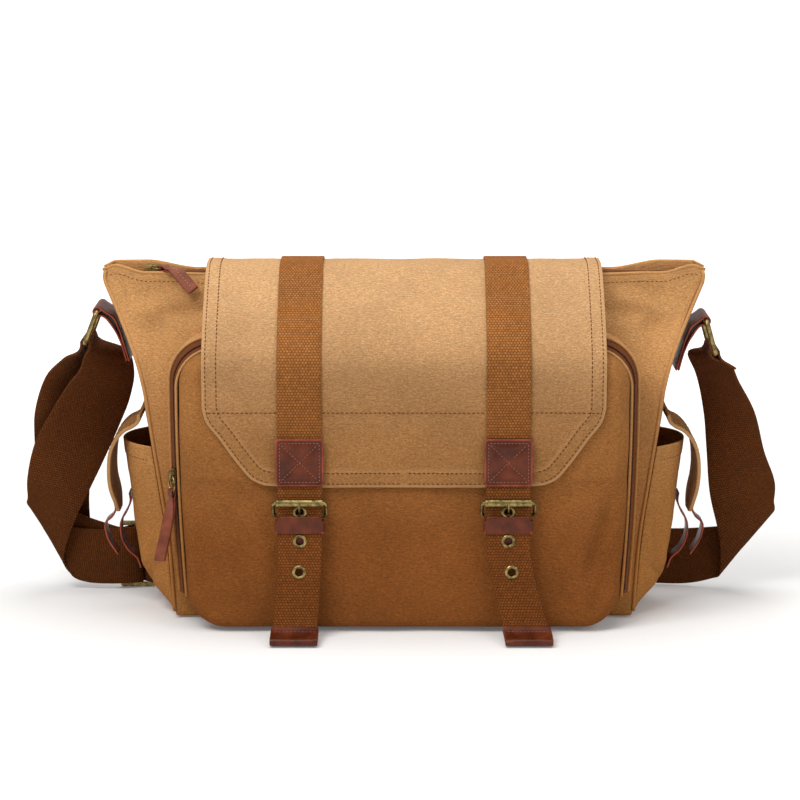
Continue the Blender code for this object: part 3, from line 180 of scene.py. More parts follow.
def antique_brass(name):
    """Cast brass, tumbled and darkened: warm and polished where it is rubbed, brown in the hollows."""
    finish, tree = new_finish(name)
    place = node(tree, "TexCoord").outputs["Object"]
    tarnish = node(tree, "TexNoise", {"Vector": place, "Scale": 220.0, "Detail": 4.0, "Roughness": 0.65})
    rubbed = node(tree, "MapRange", {"Value": tarnish.outputs["Fac"], "From Min": 0.36, "From Max": 0.62})
    tone = node(tree, "Mix", {0: rubbed.outputs[0], 6: colour("#54462A"), 7: colour("#A08C58")},
                data_type="RGBA")
    gloss = node(tree, "MapRange", {"Value": tarnish.outputs["Fac"], "From Min": 0.35, "From Max": 0.65,
                                    "To Min": 0.46, "To Max": 0.26})
    bump = node(tree, "Bump", {"Height": tarnish.outputs["Fac"], "Strength": 0.12, "Distance": 0.0003})
    shader = node(tree, "BsdfPrincipled", {
        "Base Color": tone.outputs[2], "Roughness": gloss.outputs[0], "Normal": bump.outputs[0],
        "Metallic": 1.0})
    node(tree, "OutputMaterial", {"Surface": shader.outputs[0]})
    return finish


def yarn(name, tone, shade, roughness=0.7):
    """Twisted polyester: thread, zip tape and coil, with a fine twist of about 0.5 mm and a low sheen."""
    finish, tree = new_finish(name)
    place = node(tree, "TexCoord").outputs["Object"]
    twist = node(tree, "TexNoise", {"Vector": place, "Scale": 1500.0, "Detail": 2.0})
    ribbed = node(tree, "MapRange", {"Value": twist.outputs["Fac"], "From Min": 0.3, "From Max": 0.7})
    tone = node(tree, "Mix", {0: ribbed.outputs[0], 6: colour(shade), 7: colour(tone)}, data_type="RGBA")
    bump = node(tree, "Bump", {"Height": twist.outputs["Fac"], "Strength": 0.4, "Distance": 0.0003})
    shader = node(tree, "BsdfPrincipled", {
        "Base Color": tone.outputs[2], "Normal": bump.outputs[0], "Roughness": roughness,
        "Specular IOR Level": 0.12})
    node(tree, "OutputMaterial", {"Surface": shader.outputs[0]})
    return finish


# Painted light: the body, pocket and flap canvases are one cloth in lit and shaded copies, lighter on the upward flap
# and darker on the pocket under it.
BODY_CANVAS = canvas("washed_canvas", "#B0763E", "#CC9760", 0.05, 0.26)
POCKET_CANVAS = canvas("shaded_pocket_canvas", "#8A5226", "#AC7440", 0.06, 0.21)
FLAP_CANVAS = canvas("painted_lit_flap_canvas", "#A47344", "#CDA172", 0.14, 0.3)
# Painted light: the strap webbings are also coloured lighter towards the top, where the top light falls.
STRAP_WEB = webbing("flap_strap_webbing", "#8E5124", "#BE7A40", 0.06, 0.27, 2.5, 2.3)
SHOULDER_WEB = webbing("shoulder_strap_webbing", "#703E1C", "#7C4622", 0.06, 0.27, 2.2, 1.8)
HIDE = leather("waxed_leather", "#6C3018", "#4C1E0D", 0.34)
PULL_HIDE = leather("pull_leather", "#8C4A30", "#6C3220", 0.4)
RAW_EDGE = leather("raw_leather_edge", "#A34D37", "#7E3524", 0.6)
BRASS = antique_brass("antique_brass")
THREAD = yarn("rust_thread", "#7A3B17", "#52230A")
PATCH_THREAD = yarn("rose_thread", "#AE7C68", "#885744")
PULL_THREAD = yarn("straw_thread", "#C99A62", "#A8763F")
TAPE = yarn("zip_tape", "#7C4728", "#5A3018", 0.8)
COIL = yarn("zip_coil", "#5A3420", "#3B2012", 0.45)


# Curves and pieces

def ease(value, low, high):
    share = min(max((value - low) / (high - low), 0.0), 1.0)
    return share * share * (3 - 2 * share)


def smoothed(points, step):
    """Points on a smooth curve through points, about step apart."""
    spans = [(after - before).length for before, after in zip(points, points[1:])]
    slopes = [(after - before) / span for before, after, span in zip(points, points[1:], spans)]
    tangents = [slopes[0]]
    for number in range(1, len(points) - 1):
        before, after = spans[number - 1], spans[number]
        tangents.append((slopes[number - 1] * after + slopes[number] * before) / (before + after))
    tangents.append(slopes[-1])
    drawn = []
    for number, span in enumerate(spans):
        count = max(1, math.ceil(span / step))
        for piece in range(count):
            t = piece / count
            drawn.append(points[number] * (1 + 2 * t) * (1 - t) ** 2
                         + points[number + 1] * t * t * (3 - 2 * t)
                         + tangents[number] * span * t * (1 - t) ** 2
                         - tangents[number + 1] * span * t * t * (1 - t))
    return drawn + [points[-1]]


def plane(*points):
    return [Vector(point) for point in points]


def arc(centre, radius, start, end, steps):
    turns = [math.radians(start + (end - start) * number / steps) for number in range(steps + 1)]
    return [Vector((centre[0] + radius * math.cos(a), centre[1] + radius * math.sin(a))) for a in turns]


def shifted(points, distance):
    """A plane path moved sideways, to the left of its travel."""
    moved = []
    for number, point in enumerate(points):
        travel = (points[min(number + 1, len(points) - 1)] - points[max(number - 1, 0)]).normalized()
        moved.append(point + Vector((-travel.y, travel.x)) * distance)
    return moved


def rounded_box(half_x, half_y, radius, steps=5):
    points = []
    for quarter, (sx, sy) in enumerate([(1, 1), (-1, 1), (-1, -1), (1, -1)]):
        centre = (sx * (half_x - radius), sy * (half_y - radius))
        points += arc(centre, radius, quarter * 90, quarter * 90 + 90, steps)
    return points


def along(path, share):
    """The point a share of the way along an evenly numbered path."""
    spot = min(max(share, 0.0), 1.0) * (len(path) - 1)
    number = min(int(spot), len(path) - 2)
    return path[number].lerp(path[number + 1], spot - number)


def lumps(x, y, z, size):
    return noise.noise(Vector((x, y, z)) / size)


def fold(x, z, start, end, width, depth):
    """A soft crease of cloth along a line on a panel, which dies out at both ends."""
    start, end, spot = Vector(start), Vector(end), Vector((x, z))
    run = end - start
    share = min(max((spot - start).dot(run) / run.length_squared, 0.0), 1.0)
    gap = (spot - start - run * share).length
    return depth * math.exp(-(gap / width) ** 2) * math.sqrt(math.sin(math.pi * share) + 1e-9)


def run_length(points):
    return sum((after - before).length for before, after in zip(points, points[1:]))


def evenly(path, step):
    """The same path in equal steps."""
    count = max(1, round(run_length(path) / step))
    spans = [(after - before).length for before, after in zip(path, path[1:])]
    size = sum(spans) / count
    even, number, walked = [path[0]], 0, 0.0
    for mark in range(1, count):
        while walked + spans[number] < mark * size:
            walked += spans[number]
            number += 1
        even.append(path[number].lerp(path[number + 1], (mark * size - walked) / spans[number]))
    return even + [path[-1]]


def facing(surface, a, b, out):
    """The surface's normal at a and b, on the side of out."""
    step = 0.002
    across = surface(a + step, b) - surface(a - step, b)
    up = surface(a, b + step) - surface(a, b - step)
    normal = across.cross(up).normalized()
    return normal if normal.dot(Vector(out)) > 0 else -normal


def finish_piece(name, shape, finishes, body=None, nodes=(), slot=None):
    """Makes an object of a shape, rides it on its body and puts it in place of its CAD nodes."""
    mesh = bpy.data.meshes.new(name)
    shape.to_mesh(mesh)
    shape.free()
    for finish in finishes:
        mesh.materials.append(finish)
    mesh.shade_smooth()
    made = bpy.data.objects.new(name, mesh)
    scene.collection.objects.link(made)
    if nodes:
        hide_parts(*nodes)
    if body:
        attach(made, body)
    return made


def thicken(made, thickness, offset, edge=0):
    wall = made.modifiers.new("thickness", "SOLIDIFY")
    wall.thickness = thickness * MM
    wall.offset = offset
    wall.use_even_offset = True
    wall.use_quality_normals = True
    wall.material_offset_rim = edge
    worn = made.modifiers.new("worn edge", "BEVEL")
    worn.width = thickness * MM * 0.34
    worn.segments = 2
    worn.limit_method = "ANGLE"
    worn.angle_limit = math.radians(55)
    worn.use_clamp_overlap = True


def cut_sheet(columns, rows, place, out, closed=False, wear=None):
    """A grid laid by place(across, along), each 0 to 1, with its flat size kept as a UV map, "cut"."""
    shape = bmesh.new()
    cut = shape.loops.layers.uv.new("cut")
    worn = shape.verts.layers.float.new("wear")
    bmesh.ops.create_grid(shape, x_segments=columns, y_segments=rows, size=0.5)
    width = run_length([place(n / 40, 0.5) for n in range(41)]) * MM
    length = run_length([place(0.5, n / 60) for n in range(61)]) * MM
    for face in shape.faces:
        for corner in face.loops:
            corner[cut].uv = ((corner.vert.co.x + 0.5) * width, (corner.vert.co.y + 0.5) * length)
    for vert in shape.verts:
        a, b = vert.co.x + 0.5, vert.co.y + 0.5
        if wear:
            vert[worn] = wear(a, b)
        vert.co = place(a, b) * MM
    step = 0.01
    normal = (place(0.5 + step, 0.5) - place(0.5 - step, 0.5)).cross(
        place(0.5, 0.5 + step) - place(0.5, 0.5 - step))
    if closed:
        bmesh.ops.remove_doubles(shape, verts=shape.verts, dist=1e-6)
    if normal.dot(Vector(out)) < 0:
        bmesh.ops.reverse_faces(shape, faces=shape.faces)
    return shape


def strip(name, path, half_width, place, out, thickness, finishes, body=None, nodes=(), slot=None, columns=6,
          offset=0.0, edge=0):
    """A strap or tab: a plane path, which place(across, point) puts in the bag, across from -1 to 1."""
    def lay(across, share):
        point = along(path, share)
        return place((2 * across - 1) * half_width, point)

    made = finish_piece(name, cut_sheet(columns, len(path) - 1, lay, out), finishes, body, nodes, slot)
    thicken(made, thickness, offset, edge)
    return made, lay


def tube(name, points, radius, finish, body, nodes=(), slot=None, closed=False, sides=4):
    """A round wire or rolled seam through points."""
    curve = bpy.data.curves.new(name, "CURVE")
    curve.dimensions = "3D"
    curve.bevel_depth = radius * MM
    curve.bevel_resolution = sides
    curve.use_fill_caps = True
    spline = curve.splines.new("POLY")
    spline.points.add(len(points) - 1)
    for knot, point in zip(spline.points, points):
        knot.co = (*(Vector(point) * MM), 1)
    spline.use_cyclic_u = closed
    drawn = bpy.data.objects.new(name, curve)
    scene.collection.objects.link(drawn)
    bpy.context.view_layer.update()
    graph = bpy.context.evaluated_depsgraph_get()
    shape = bmesh.new()
    shape.from_mesh(drawn.evaluated_get(graph).to_mesh())
    bpy.data.objects.remove(drawn, do_unlink=True)
    bmesh.ops.remove_doubles(shape, verts=shape.verts, dist=1e-6)
    bmesh.ops.recalc_face_normals(shape, faces=shape.faces)
    return finish_piece(name, shape, [finish], body, nodes, slot)


def stitching(name, rows, finish, body, pitch=3.8, length=2.7, width=0.75, lift=0.1):
    """Rows of sewn stitches. Each row is a surface, a track of (across, along) on it, and its outer side."""
    shape = bmesh.new()
    for surface, track, out in rows:
        points = [surface(a, b) for a, b in track]
        travelled = 0.0
        due = pitch / 2
        for number in range(len(points) - 1):
            step = (points[number + 1] - points[number]).length
            while step > 0 and due <= travelled + step:
                share = (due - travelled) / step
                a = track[number][0] + (track[number + 1][0] - track[number][0]) * share
                b = track[number][1] + (track[number + 1][1] - track[number][1]) * share
                normal = facing(surface, a, b, out)
                travel = (points[number + 1] - points[number]).normalized()
                side = normal.cross(travel).normalized()
                turn = Matrix((travel, side, normal)).transposed().to_4x4()
                seat = Matrix.Translation((surface(a, b) + normal * lift) * MM)
                size = Matrix.Diagonal((length / 2 * MM, width / 2 * MM, width / 2.4 * MM, 1))
                bmesh.ops.create_icosphere(shape, subdivisions=1, radius=1, matrix=seat @ turn @ size)
                due += pitch
            travelled += step
    return finish_piece(name, shape, [finish], body)


def line(start, end, steps=40):
    """A straight track of (across, along) points."""
    return [(start[0] + (end[0] - start[0]) * n / steps, start[1] + (end[1] - start[1]) * n / steps)
            for n in range(steps + 1)]


def zip_teeth(name, spots, body, size):
    """Rows of coil teeth: each spot is a place, the zip's travel there, and its way out."""
    shape = bmesh.new()
    for place, travel, out in spots:
        travel, out = travel.normalized(), out.normalized()
        across = out.cross(travel).normalized()
        turn = Matrix((travel, across, out)).transposed().to_4x4()
        scale = Matrix.Diagonal((size[0] * MM, size[1] * MM, size[2] * MM, 1))
        bmesh.ops.create_icosphere(shape, subdivisions=1, radius=0.5,
                                   matrix=Matrix.Translation(place * MM) @ turn @ scale)
    return finish_piece(name, shape, [COIL], body)


# Main compartment

BODY_HEIGHT = 287.0
PANEL_FOOT = 5.0


def half_width(z):
    if z <= 176:
        return 194 + 27 * z / 176
    return 221 + 32 * ((min(z, BODY_HEIGHT) - 176) / 111) ** 1.3


def half_depth(z):
    return 52 - 35 * min(max(z, 0.0) / BODY_HEIGHT, 1.0) ** 4


def gusset_bow(z):
    """How far the gusset swells out past its corner seams."""
    return 8.5 * ease(z, -40, 90) * (1 - ease(z, 205, 291))


def corner_x(z):
    return half_width(z) - gusset_bow(z) - 5 * ease(z, 278, 290) ** 2


def panel_depth(x, z):
    """Half the depth at x: the wings pinch together at their tips."""
    pinch = 0.45 * ease(abs(x), 165, 205) + 0.15 * ease(abs(x), 215, 253)
    return half_depth(z) * (1 - pinch * ease(z, 200, 288))


def front_edge(x):
    return BODY_HEIGHT + 6 * ease(abs(x), 216, 242) - 4 * ease(abs(x), 242, 254)


def back_edge(x):
    return BODY_HEIGHT + 7.5 * ease(abs(x), 172, 215) - 5 * ease(abs(x), 242, 254)


def panel_sag(x, z, facing_back):
    """How far the cloth hangs in from its pattern: a loose mottle and the creases beside the pocket."""
    free = max(ease(abs(x), 194, 206), ease(z, 246, 258)) if not facing_back else 1.0
    sag = 1.6 + 2.2 * lumps(x, 40, z, 44) + 1.0 * lumps(x, 90, z, 19)
    for side in (-1, 1):
        sag += fold(x * side, z, (150, 262), (244, 232), 11, 6.0)
        sag += fold(x * side, z, (204, 246), (224, 176), 7, 4.0)
        sag += fold(x * side, z, (212, 200), (216, 110), 5, 3.2)
        sag += fold(x * side, z, (170, 281), (232, 262), 8, 3.0)
        sag -= fold(x * side, z, (176, 270), (236, 252), 8, 2.4)
    return sag * free * min(1.0, (z + 4) / 20) * (1 - 0.8 * ease(z, 276, 287))


BACK_COLUMNS, GUSSET_COLUMNS, FRONT_COLUMNS = 28, 24, 110
SHELL_COLUMNS = 2 * BACK_COLUMNS + 2 * GUSSET_COLUMNS + FRONT_COLUMNS
SHELL_ROWS, FOOT_ROWS = 78, 6
FOOT = [(46, 0.8), (30, 0.8), (14, 0.8), (5, 0.9), (1.6, 1.6), (0.4, 3.2)]


def body_shell(around, share):
    """The body's cloth: round the ring from the middle of the back by the left, and up from the base."""
    column = around * SHELL_COLUMNS
    row = share * SHELL_ROWS
    inset = 0.0
    if row < FOOT_ROWS:
        inset, level = FOOT[int(row)]
        rise = None
    else:
        rise = (row - FOOT_ROWS) / (SHELL_ROWS - FOOT_ROWS)
        level = PANEL_FOOT + (BODY_HEIGHT - PANEL_FOOT) * rise
    wide = corner_x(level) - inset
    left_corner, front_corner = BACK_COLUMNS, BACK_COLUMNS + GUSSET_COLUMNS
    right_corner = front_corner + FRONT_COLUMNS
    if left_corner < column < front_corner or right_corner < column < right_corner + GUSSET_COLUMNS:
        side = -1 if column < front_corner else 1
        first = left_corner if side < 0 else right_corner
        turn = (1 - 2 * (column - first) / GUSSET_COLUMNS) * -side
        rim_front, rim_back = front_edge(253), back_edge(253)
        rim = rim_front + (rim_back - rim_front) * (turn + 1) / 2
        z = level if rise is None else PANEL_FOOT + (rim - PANEL_FOOT) * rise
        depth = panel_depth(wide + inset, z) - inset
        swell = gusset_bow(level) * (1 - turn * turn) * (1 if inset == 0 else 0.4)
        swell -= (1.1 + 1.1 * lumps(side * 300, turn * 50, z, 30)) * (1 - abs(turn) ** 3) * min(1, z / 30)
        return Vector((side * (wide + max(swell, -0.6)), turn * depth, z))
    if front_corner <= column <= right_corner:
        x = wide * (2 * (column - front_corner) / FRONT_COLUMNS - 1)
        facing_back, rim = -1, front_edge(x)
    else:
        turned = column if column <= left_corner else column - SHELL_COLUMNS
        x = -wide * turned / BACK_COLUMNS
        facing_back, rim = 1, back_edge(x)
    z = level if rise is None else PANEL_FOOT + (rim - PANEL_FOOT) * rise
    sag = panel_sag(x, z, facing_back > 0) * (1 - (abs(x) / wide) ** 12)
    return Vector((x, facing_back * (panel_depth(x, z) - inset - max(sag, -0.5)), z))


def seam_wear(around, share):
    column = around * SHELL_COLUMNS
    near = min(abs(column - spot) for spot in (
        BACK_COLUMNS, BACK_COLUMNS + GUSSET_COLUMNS, SHELL_COLUMNS - BACK_COLUMNS - GUSSET_COLUMNS,
        SHELL_COLUMNS - BACK_COLUMNS))
    return 0.3 * max(0.0, 1 - near / 1.5) + 0.25 * ease(share, 0.96, 1.0)


shell = cut_sheet(SHELL_COLUMNS, SHELL_ROWS, body_shell, (0, -1, 0), closed=True, wear=seam_wear)
bmesh.ops.holes_fill(shell, edges=[edge for edge in shell.edges
                                   if edge.is_boundary and edge.verts[0].co.z < 0.01], sides=0)
body_cloth = finish_piece("body_shell", shell, [BODY_CANVAS], "bag", (
    "front_panel", "back_panel", "left_gusset", "right_gusset", "bottom_panel"), "canvas")
thicken(body_cloth, 1.8, -1)

for side_name, side in SIDES.items():
    for way, facing_y in (("front", -1), ("back", 1)):
        rim = front_edge(253) if facing_y < 0 else back_edge(253)
        spine = []
        for step in range(57):
            z = 6 + (rim - 6) * step / 56
            x = corner_x(min(z, BODY_HEIGHT))
            spine.append((side * (x + 0.3), facing_y * (panel_depth(x, z) + 0.2), z))
        tube(f"{side_name}_{way}_corner_seam", spine, 1.5, BODY_CANVAS, "bag", slot="canvas")
for way, facing_y, edge_at in (("front", -1, front_edge), ("back", 1, back_edge)):
    spine = []
    for step in range(121):
        x = -252 + 504 * step / 120
        spine.append((x, facing_y * (panel_depth(x, BODY_HEIGHT) - 0.5) + 0.4, edge_at(x) - 0.2))
    tube(way + "_top_hem", spine, 1.35, BODY_CANVAS, "bag", slot="canvas")


def on_front(across, share):
    """A point on the front panel by its share of the width and the height."""
    first = (BACK_COLUMNS + GUSSET_COLUMNS) / SHELL_COLUMNS
    return body_shell(first + across * FRONT_COLUMNS / SHELL_COLUMNS,
                      (FOOT_ROWS + share * (SHELL_ROWS - FOOT_ROWS)) / SHELL_ROWS)


stitching("top_hem_stitching", [
    (on_front, line((0.006, 0.975), (0.17, 0.975), 60), (0, -1, 0.3)),
    (on_front, line((0.83, 0.975), (0.994, 0.975), 60), (0, -1, 0.3)),
], THREAD, "bag", width=0.6)


# Top zip

for way, facing_y in (("front", -1), ("back", 1)):
    def tape(across, share, facing_y=facing_y):
        x = -246 + 492 * across
        outer = panel_depth(x, BODY_HEIGHT) - 1.7
        return Vector((x, facing_y * (0.9 + (outer - 0.9) * share), BODY_HEIGHT - 0.7))

    made = finish_piece(f"top_zip_{way}_ribbon", cut_sheet(80, 4, tape, (0, 0, 1)), [TAPE], "bag",
                        (f"top_zip_{way}_tape",), "zip_tape")
    thicken(made, 0.9, -1)
zip_teeth("top_zip_coil", [
    (Vector((-244 + 1.3 * n, 0.55 if n % 2 else -0.55, BODY_HEIGHT - 0.9)), Vector((1, 0, 0)), Vector((0, 0, 1)))
    for n in range(376)], "bag", (1.5, 2.6, 1.4))


# Front pocket

POCKET_FACE_Y, POCKET_ZIP_Y = -98.0, -75.0


def pocket_inset(y):
    return 19 * min(max((y + 52) / -42, 0.36), 1.0)


def pocket_taper(z):
    return 8 * max(1 - z / 191, 0) ** 2


def pocket_outline(inset, share):
    """A point on the pocket wall's outline, from the lower left, over the top, to the lower right."""
    wide, radius, top = 200 - inset, 40 - inset * 0.5, 250 - inset
    rise, level, corner = top - radius - 27, wide - radius, radius * math.pi / 2
    half = rise + corner + level
    place = half - abs(share * 2 - 1) * half
    if place < rise:
        z = 27 + place
        x = wide - pocket_taper(z)
    elif place < rise + corner:
        turn = (place - rise) / radius
        x, z = level + radius * math.cos(turn), top - radius + radius * math.sin(turn)
    else:
        x, z = level - (place - rise - corner), top
    return (x if share > 0.5 else -x), z


def pocket_band(rear, front, crumple=0.0, step_out=0.0):
    """A U-shaped band round the pocket between two depths."""
    def place(across, share):
        x, z = pocket_outline(0, share)
        back = -half_depth(z - 2) - 1.0 if rear is None else rear
        y = back + (front - back) * across
        x, z = pocket_outline(pocket_inset(y) - step_out, share)
        soft = crumple * (lumps(x, y * 1.5, z, 22) - 0.4) * math.sin(math.pi * min(max(across, 0), 1))
        return Vector((x + soft * (1 if x > 0 else -1), y, z + soft * ease(z, 200, 240)))

    return place


gusset_band = pocket_band(None, -67.0, 2.0)
made = finish_piece("pocket_gusset_cloth", cut_sheet(8, 150, gusset_band, (0, 0, 1)), [BODY_CANVAS], "bag",
                    ("pocket_gusset",), "canvas")
thicken(made, 1.8, -1)
for way, rear, front in (("rear", -66.6, -74.3), ("front", -75.7, -83.2)):
    made = finish_piece(f"pocket_zip_{way}_ribbon", cut_sheet(4, 130, pocket_band(rear, front, 0, -0.7), (0, 0, 1)),
                        [TAPE], "bag", (f"pocket_zip_{way}_tape",), "zip_tape")
    thicken(made, 0.9, -1)

coil_line = pocket_band(-74.5, -75.5)
spots = []
for number in range(470):
    share = 0.004 + 0.992 * number / 469
    place = coil_line(0.5, share)
    ahead = coil_line(0.5, min(share + 0.002, 1.0)) - coil_line(0.5, max(share - 0.002, 0.0))
    out = facing(coil_line, 0.5, min(max(share, 0.003), 0.997), (place.x, 0, place.z - 100))
    spots.append((place - out * 0.6 + Vector((0, 0.55 if number % 2 else -0.55, 0)), ahead, out))
zip_teeth("pocket_zip_coil", spots, "bag", (1.6, 2.6, 1.4))

# Rolled edges beside the zip, where canvas meets tape
for label, y in (("rear", -67.2), ("front", -83.0)):
    spine = []
    for step in range(161):
        x, z = pocket_outline(pocket_inset(y), step / 160)
        spine.append((x, y, z))
    tube(f"pocket_zip_{label}_welt", spine, 1.25, BODY_CANVAS, "bag", slot="canvas", sides=3)

TRAY_CORNER = 26.0


def tray_profile(reach, wall):
    """The pocket front's edge: reach 0 to 1 goes out over the face, round the roll and back down the wall."""
    roll = 9.0
    face = TRAY_CORNER - roll
    if reach < 0.42:
        share = reach / 0.42
        return face * share, POCKET_FACE_Y + (0.4 * share ** 2)
    if reach < 0.72:
        turn = (reach - 0.42) / 0.3 * math.pi / 2
        return face + roll * math.sin(turn), POCKET_FACE_Y + 0.4 + roll * (1 - math.cos(turn))
    share = (reach - 0.72) / 0.28
    return TRAY_CORNER, POCKET_FACE_Y + 0.4 + roll + (wall - roll) * share


def pocket_tray(across, up):
    """The pocket's front panel: a puffed face, rolled edges, side walls and a bottom that runs back to the body."""
    def split(share, low, high):
        if share < low:
            return (low - share) / low, -1
        if share > high:
            return (share - high) / (1 - high), 1
        return 0.0, 0

    side_out, side = split(across, 0.14, 0.86)
    rise_out, end = split(up, 0.2, 0.82)
    x = min(max((across - 0.14) / 0.72, 0.0), 1.0) * 2 - 1
    height = min(max((up - 0.2) / 0.62, 0.0), 1.0)
    bottom, top, wide = 3.0, 231.0, 181.0
    z = bottom + TRAY_CORNER + (top - bottom - 2 * TRAY_CORNER) * height
    reach = max(side_out, rise_out)
    if reach < 1e-6:
        turn = 0.0
    elif side_out >= rise_out:
        turn = math.pi / 4 * rise_out / side_out
    else:
        turn = math.pi / 2 - math.pi / 4 * side_out / rise_out
    side_wall, end_wall = 12.5, 12.5 if end >= 0 else 40.0
    wall = side_wall + (end_wall - side_wall) * (math.sin(turn) ** 6 if end else 0)
    out, y = tray_profile(reach, wall)
    if side == 0 and end == 0:
        out = 0.0
    x_out, z_out = out * math.cos(turn) * side, out * math.sin(turn) * end
    if side == 0:
        x_out = 0.0
    if end == 0:
        z_out = 0.0
    back = pocket_inset(y) - 19
    x = x * (wide - TRAY_CORNER) + x_out
    z = z + z_out
    x *= (wide - pocket_taper(z) - back * (1 if side else 0) * abs(math.cos(turn))) / wide
    z -= back * math.sin(turn) * (1 if end > 0 else 0)
    face = 1 - ease(reach, 0.75, 1.0)
    soft = (1.2 + 2.0 * lumps(x, 10, z, 52) + 1.1 * lumps(x, 60, z, 21)) * face * (0.4 if z > 128 else 1.0)
    soft += pocket_folds(x, z) * face * (1 - ease(z, 112, 135))
    y += max(soft, -0.6) * math.cos(min(max((reach - 0.42) / 0.3, 0), 1) * math.pi / 2)
    wavy = 1.1 * lumps(x, y, z, 34) * ease(reach, 0.45, 0.7)
    x += wavy * side * math.cos(turn) - (0.8 * side if reach > 0.5 else 0)
    return Vector((x, y, max(z, 1.2)))


def pocket_folds(x, z):
    """Creases of the loose cloth: drawn down from the flap's corners and pushed up from the base."""
    folds = 0.0
    for side in (-1, 1):
        folds += fold(x * side, z, (176, 128), (150, 40), 8, 5.5)
        folds += fold(x * side, z, (158, 132), (104, 96), 10, 3.2)
        folds += fold(x * side, z, (178, 84), (156, 14), 6, 4.4)
        folds -= fold(x * side, z, (164, 108), (134, 30), 9, 2.6)
        folds += fold(x * side, z, (140, 110), (122, 20), 10, 2.4)
    folds += fold(x, z, (-40, 96), (30, 60), 22, 1.6)
    folds += fold(x, z, (20, 40), (70, 24), 14, 1.4)
    return folds


made = finish_piece("pocket_front_cloth", cut_sheet(150, 110, pocket_tray, (0, -1, 0)), [POCKET_CANVAS], "bag",
                    ("pocket_front_panel",), "canvas")
thicken(made, 1.8, -1)


# Flap

flap_profile = smoothed(plane(
    (26.78, 271), (22.3, 284), (18, 293.7), (9, 296.2), (0, 296.2), (-23, 295.2), (-60.6, 272), (-86.6, 248),
    (-99.8, 229), (-100.6, 201), (-100.6, 162.5), (-100.6, 124)), 3.0)
profile_runs = [0.0]
for before, after in zip(flap_profile, flap_profile[1:]):
    profile_runs.append(profile_runs[-1] + (after - before).length)
FLAP_LENGTH = profile_runs[-1]


def flap_at(run):
    """The flap's profile at a distance from the seam."""
    run = min(max(run, 0.0), FLAP_LENGTH)
    low = 0
    high = len(profile_runs) - 1
    while high - low > 1:
        middle = (low + high) // 2
        if profile_runs[middle] <= run:
            low = middle
        else:
            high = middle
    share = (run - profile_runs[low]) / (profile_runs[high] - profile_runs[low])
    travel = (flap_profile[high] - flap_profile[low]).normalized()
    return flap_profile[low].lerp(flap_profile[high], share), Vector((travel.y, -travel.x))


flap_corner = smoothed(plane((164, 66), (161.5, 56), (150, 40), (140.3, 26), (132.5, 15.8), (124.4, 6.8),
                             (116, 2.6), (107, 0.7), (94, 0)), 1.0)


def flap_half_width(run):
    """The flap narrows over its lowest part, and its lower corners are rounded."""
    left = FLAP_LENGTH - run
    if left >= 66:
        return 164.0
    for above, below in zip(flap_corner, flap_corner[1:]):
        if above.y >= left >= below.y and above.y > below.y:
            return above.x + (below.x - above.x) * (above.y - left) / (above.y - below.y)
    return 94.0


flap_rim = [Vector((flap_half_width(FLAP_LENGTH * n / 160), FLAP_LENGTH * n / 160)) for n in range(161)]
flap_rim.append(Vector((0, FLAP_LENGTH)))


def rim_distance(x, run):
    spot = Vector((abs(x), run))
    best = 1e9
    for before, after in zip(flap_rim, flap_rim[1:]):
        way = after - before
        share = min(max((spot - before).dot(way) / max(way.length_squared, 1e-9), 0.0), 1.0)
        best = min(best, (spot - before - way * share).length)
    return best


def flap_relief(x, run):
    """The hem stands up a little, and the cloth between is softly uneven, but flat under the straps."""
    under = min(1.0, 0.15 + ease(abs(abs(x) - 85), 17, 27))
    hem = 0.75 * (1 - ease(rim_distance(x, run), 11.5, 14.0)) - 0.5 * (1 - ease(rim_distance(x, run), 0, 2.2))
    facing_seam = FLAP_LENGTH - 58
    ridge = -0.45 * math.exp(-((run - facing_seam) / 1.6) ** 2) * (1 if abs(x) < 151 else 0)
    soft = 0.75 * lumps(x, run, 4, 58) + 0.4 * lumps(x, run, 30, 23) + 0.2 * lumps(x, run * 2.2, 60, 9)
    soft += 0.9 * fold(x, run, (-70, 118), (70, 122), 26, 1.0) - fold(x, run, (-150, 150), (-104, 140), 9, 0.9)
    return (hem + ridge + soft) * under


def flap_cloth(across, share):
    run = share * FLAP_LENGTH
    x = (2 * across - 1) * flap_half_width(run)
    point, out = flap_at(run)
    lift = flap_relief(x, run)
    return Vector((x, point.x - out.x * -lift, point.y + out.y * lift))


def flap_wear(across, share):
    run = share * FLAP_LENGTH
    rim = rim_distance((2 * across - 1) * flap_half_width(run), run)
    return 0.55 * (1 - ease(rim, 0.5, 3.5)) + 0.25 * math.exp(-((rim - 13.4) / 1.2) ** 2)


made = finish_piece("flap_cloth", cut_sheet(132, 150, flap_cloth, (0, 0, 1), wear=flap_wear), [FLAP_CANVAS],
                    None, ("flap",), "flap_canvas")
thicken(made, 2.0, -1)
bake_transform(made)


def hem_track(inset, flip):
    """A stitch track down one side of the flap, round its corner and along the bottom."""
    outline = []
    for number in range(241):
        run = FLAP_LENGTH * number / 240
        outline.append(Vector((flap_half_width(run), run)))
    for number in range(1, 60):
        outline.append(Vector((flap_half_width(FLAP_LENGTH) * (1 - number / 60), FLAP_LENGTH)))
    track = []
    for point in shifted(outline, inset):
        if point.y < 22 or point.y > FLAP_LENGTH - inset + 0.3 or point.x < 0.5:
            continue
        share = point.y / FLAP_LENGTH
        side = point.x / flap_half_width(point.y) * flip
        if abs(side) < 0.999:
            track.append((0.5 + side / 2, share))
    return track


def clear_of_straps(track, wide=17.0):
    """The parts of a flap track that no strap covers."""
    runs = [[]]
    for a, b in track:
        x = (2 * a - 1) * flap_half_width(b * FLAP_LENGTH)
        if abs(abs(x) - 85) > wide:
            runs[-1].append((a, b))
        elif runs[-1]:
            runs.append([])
    return [run for run in runs if len(run) > 1]


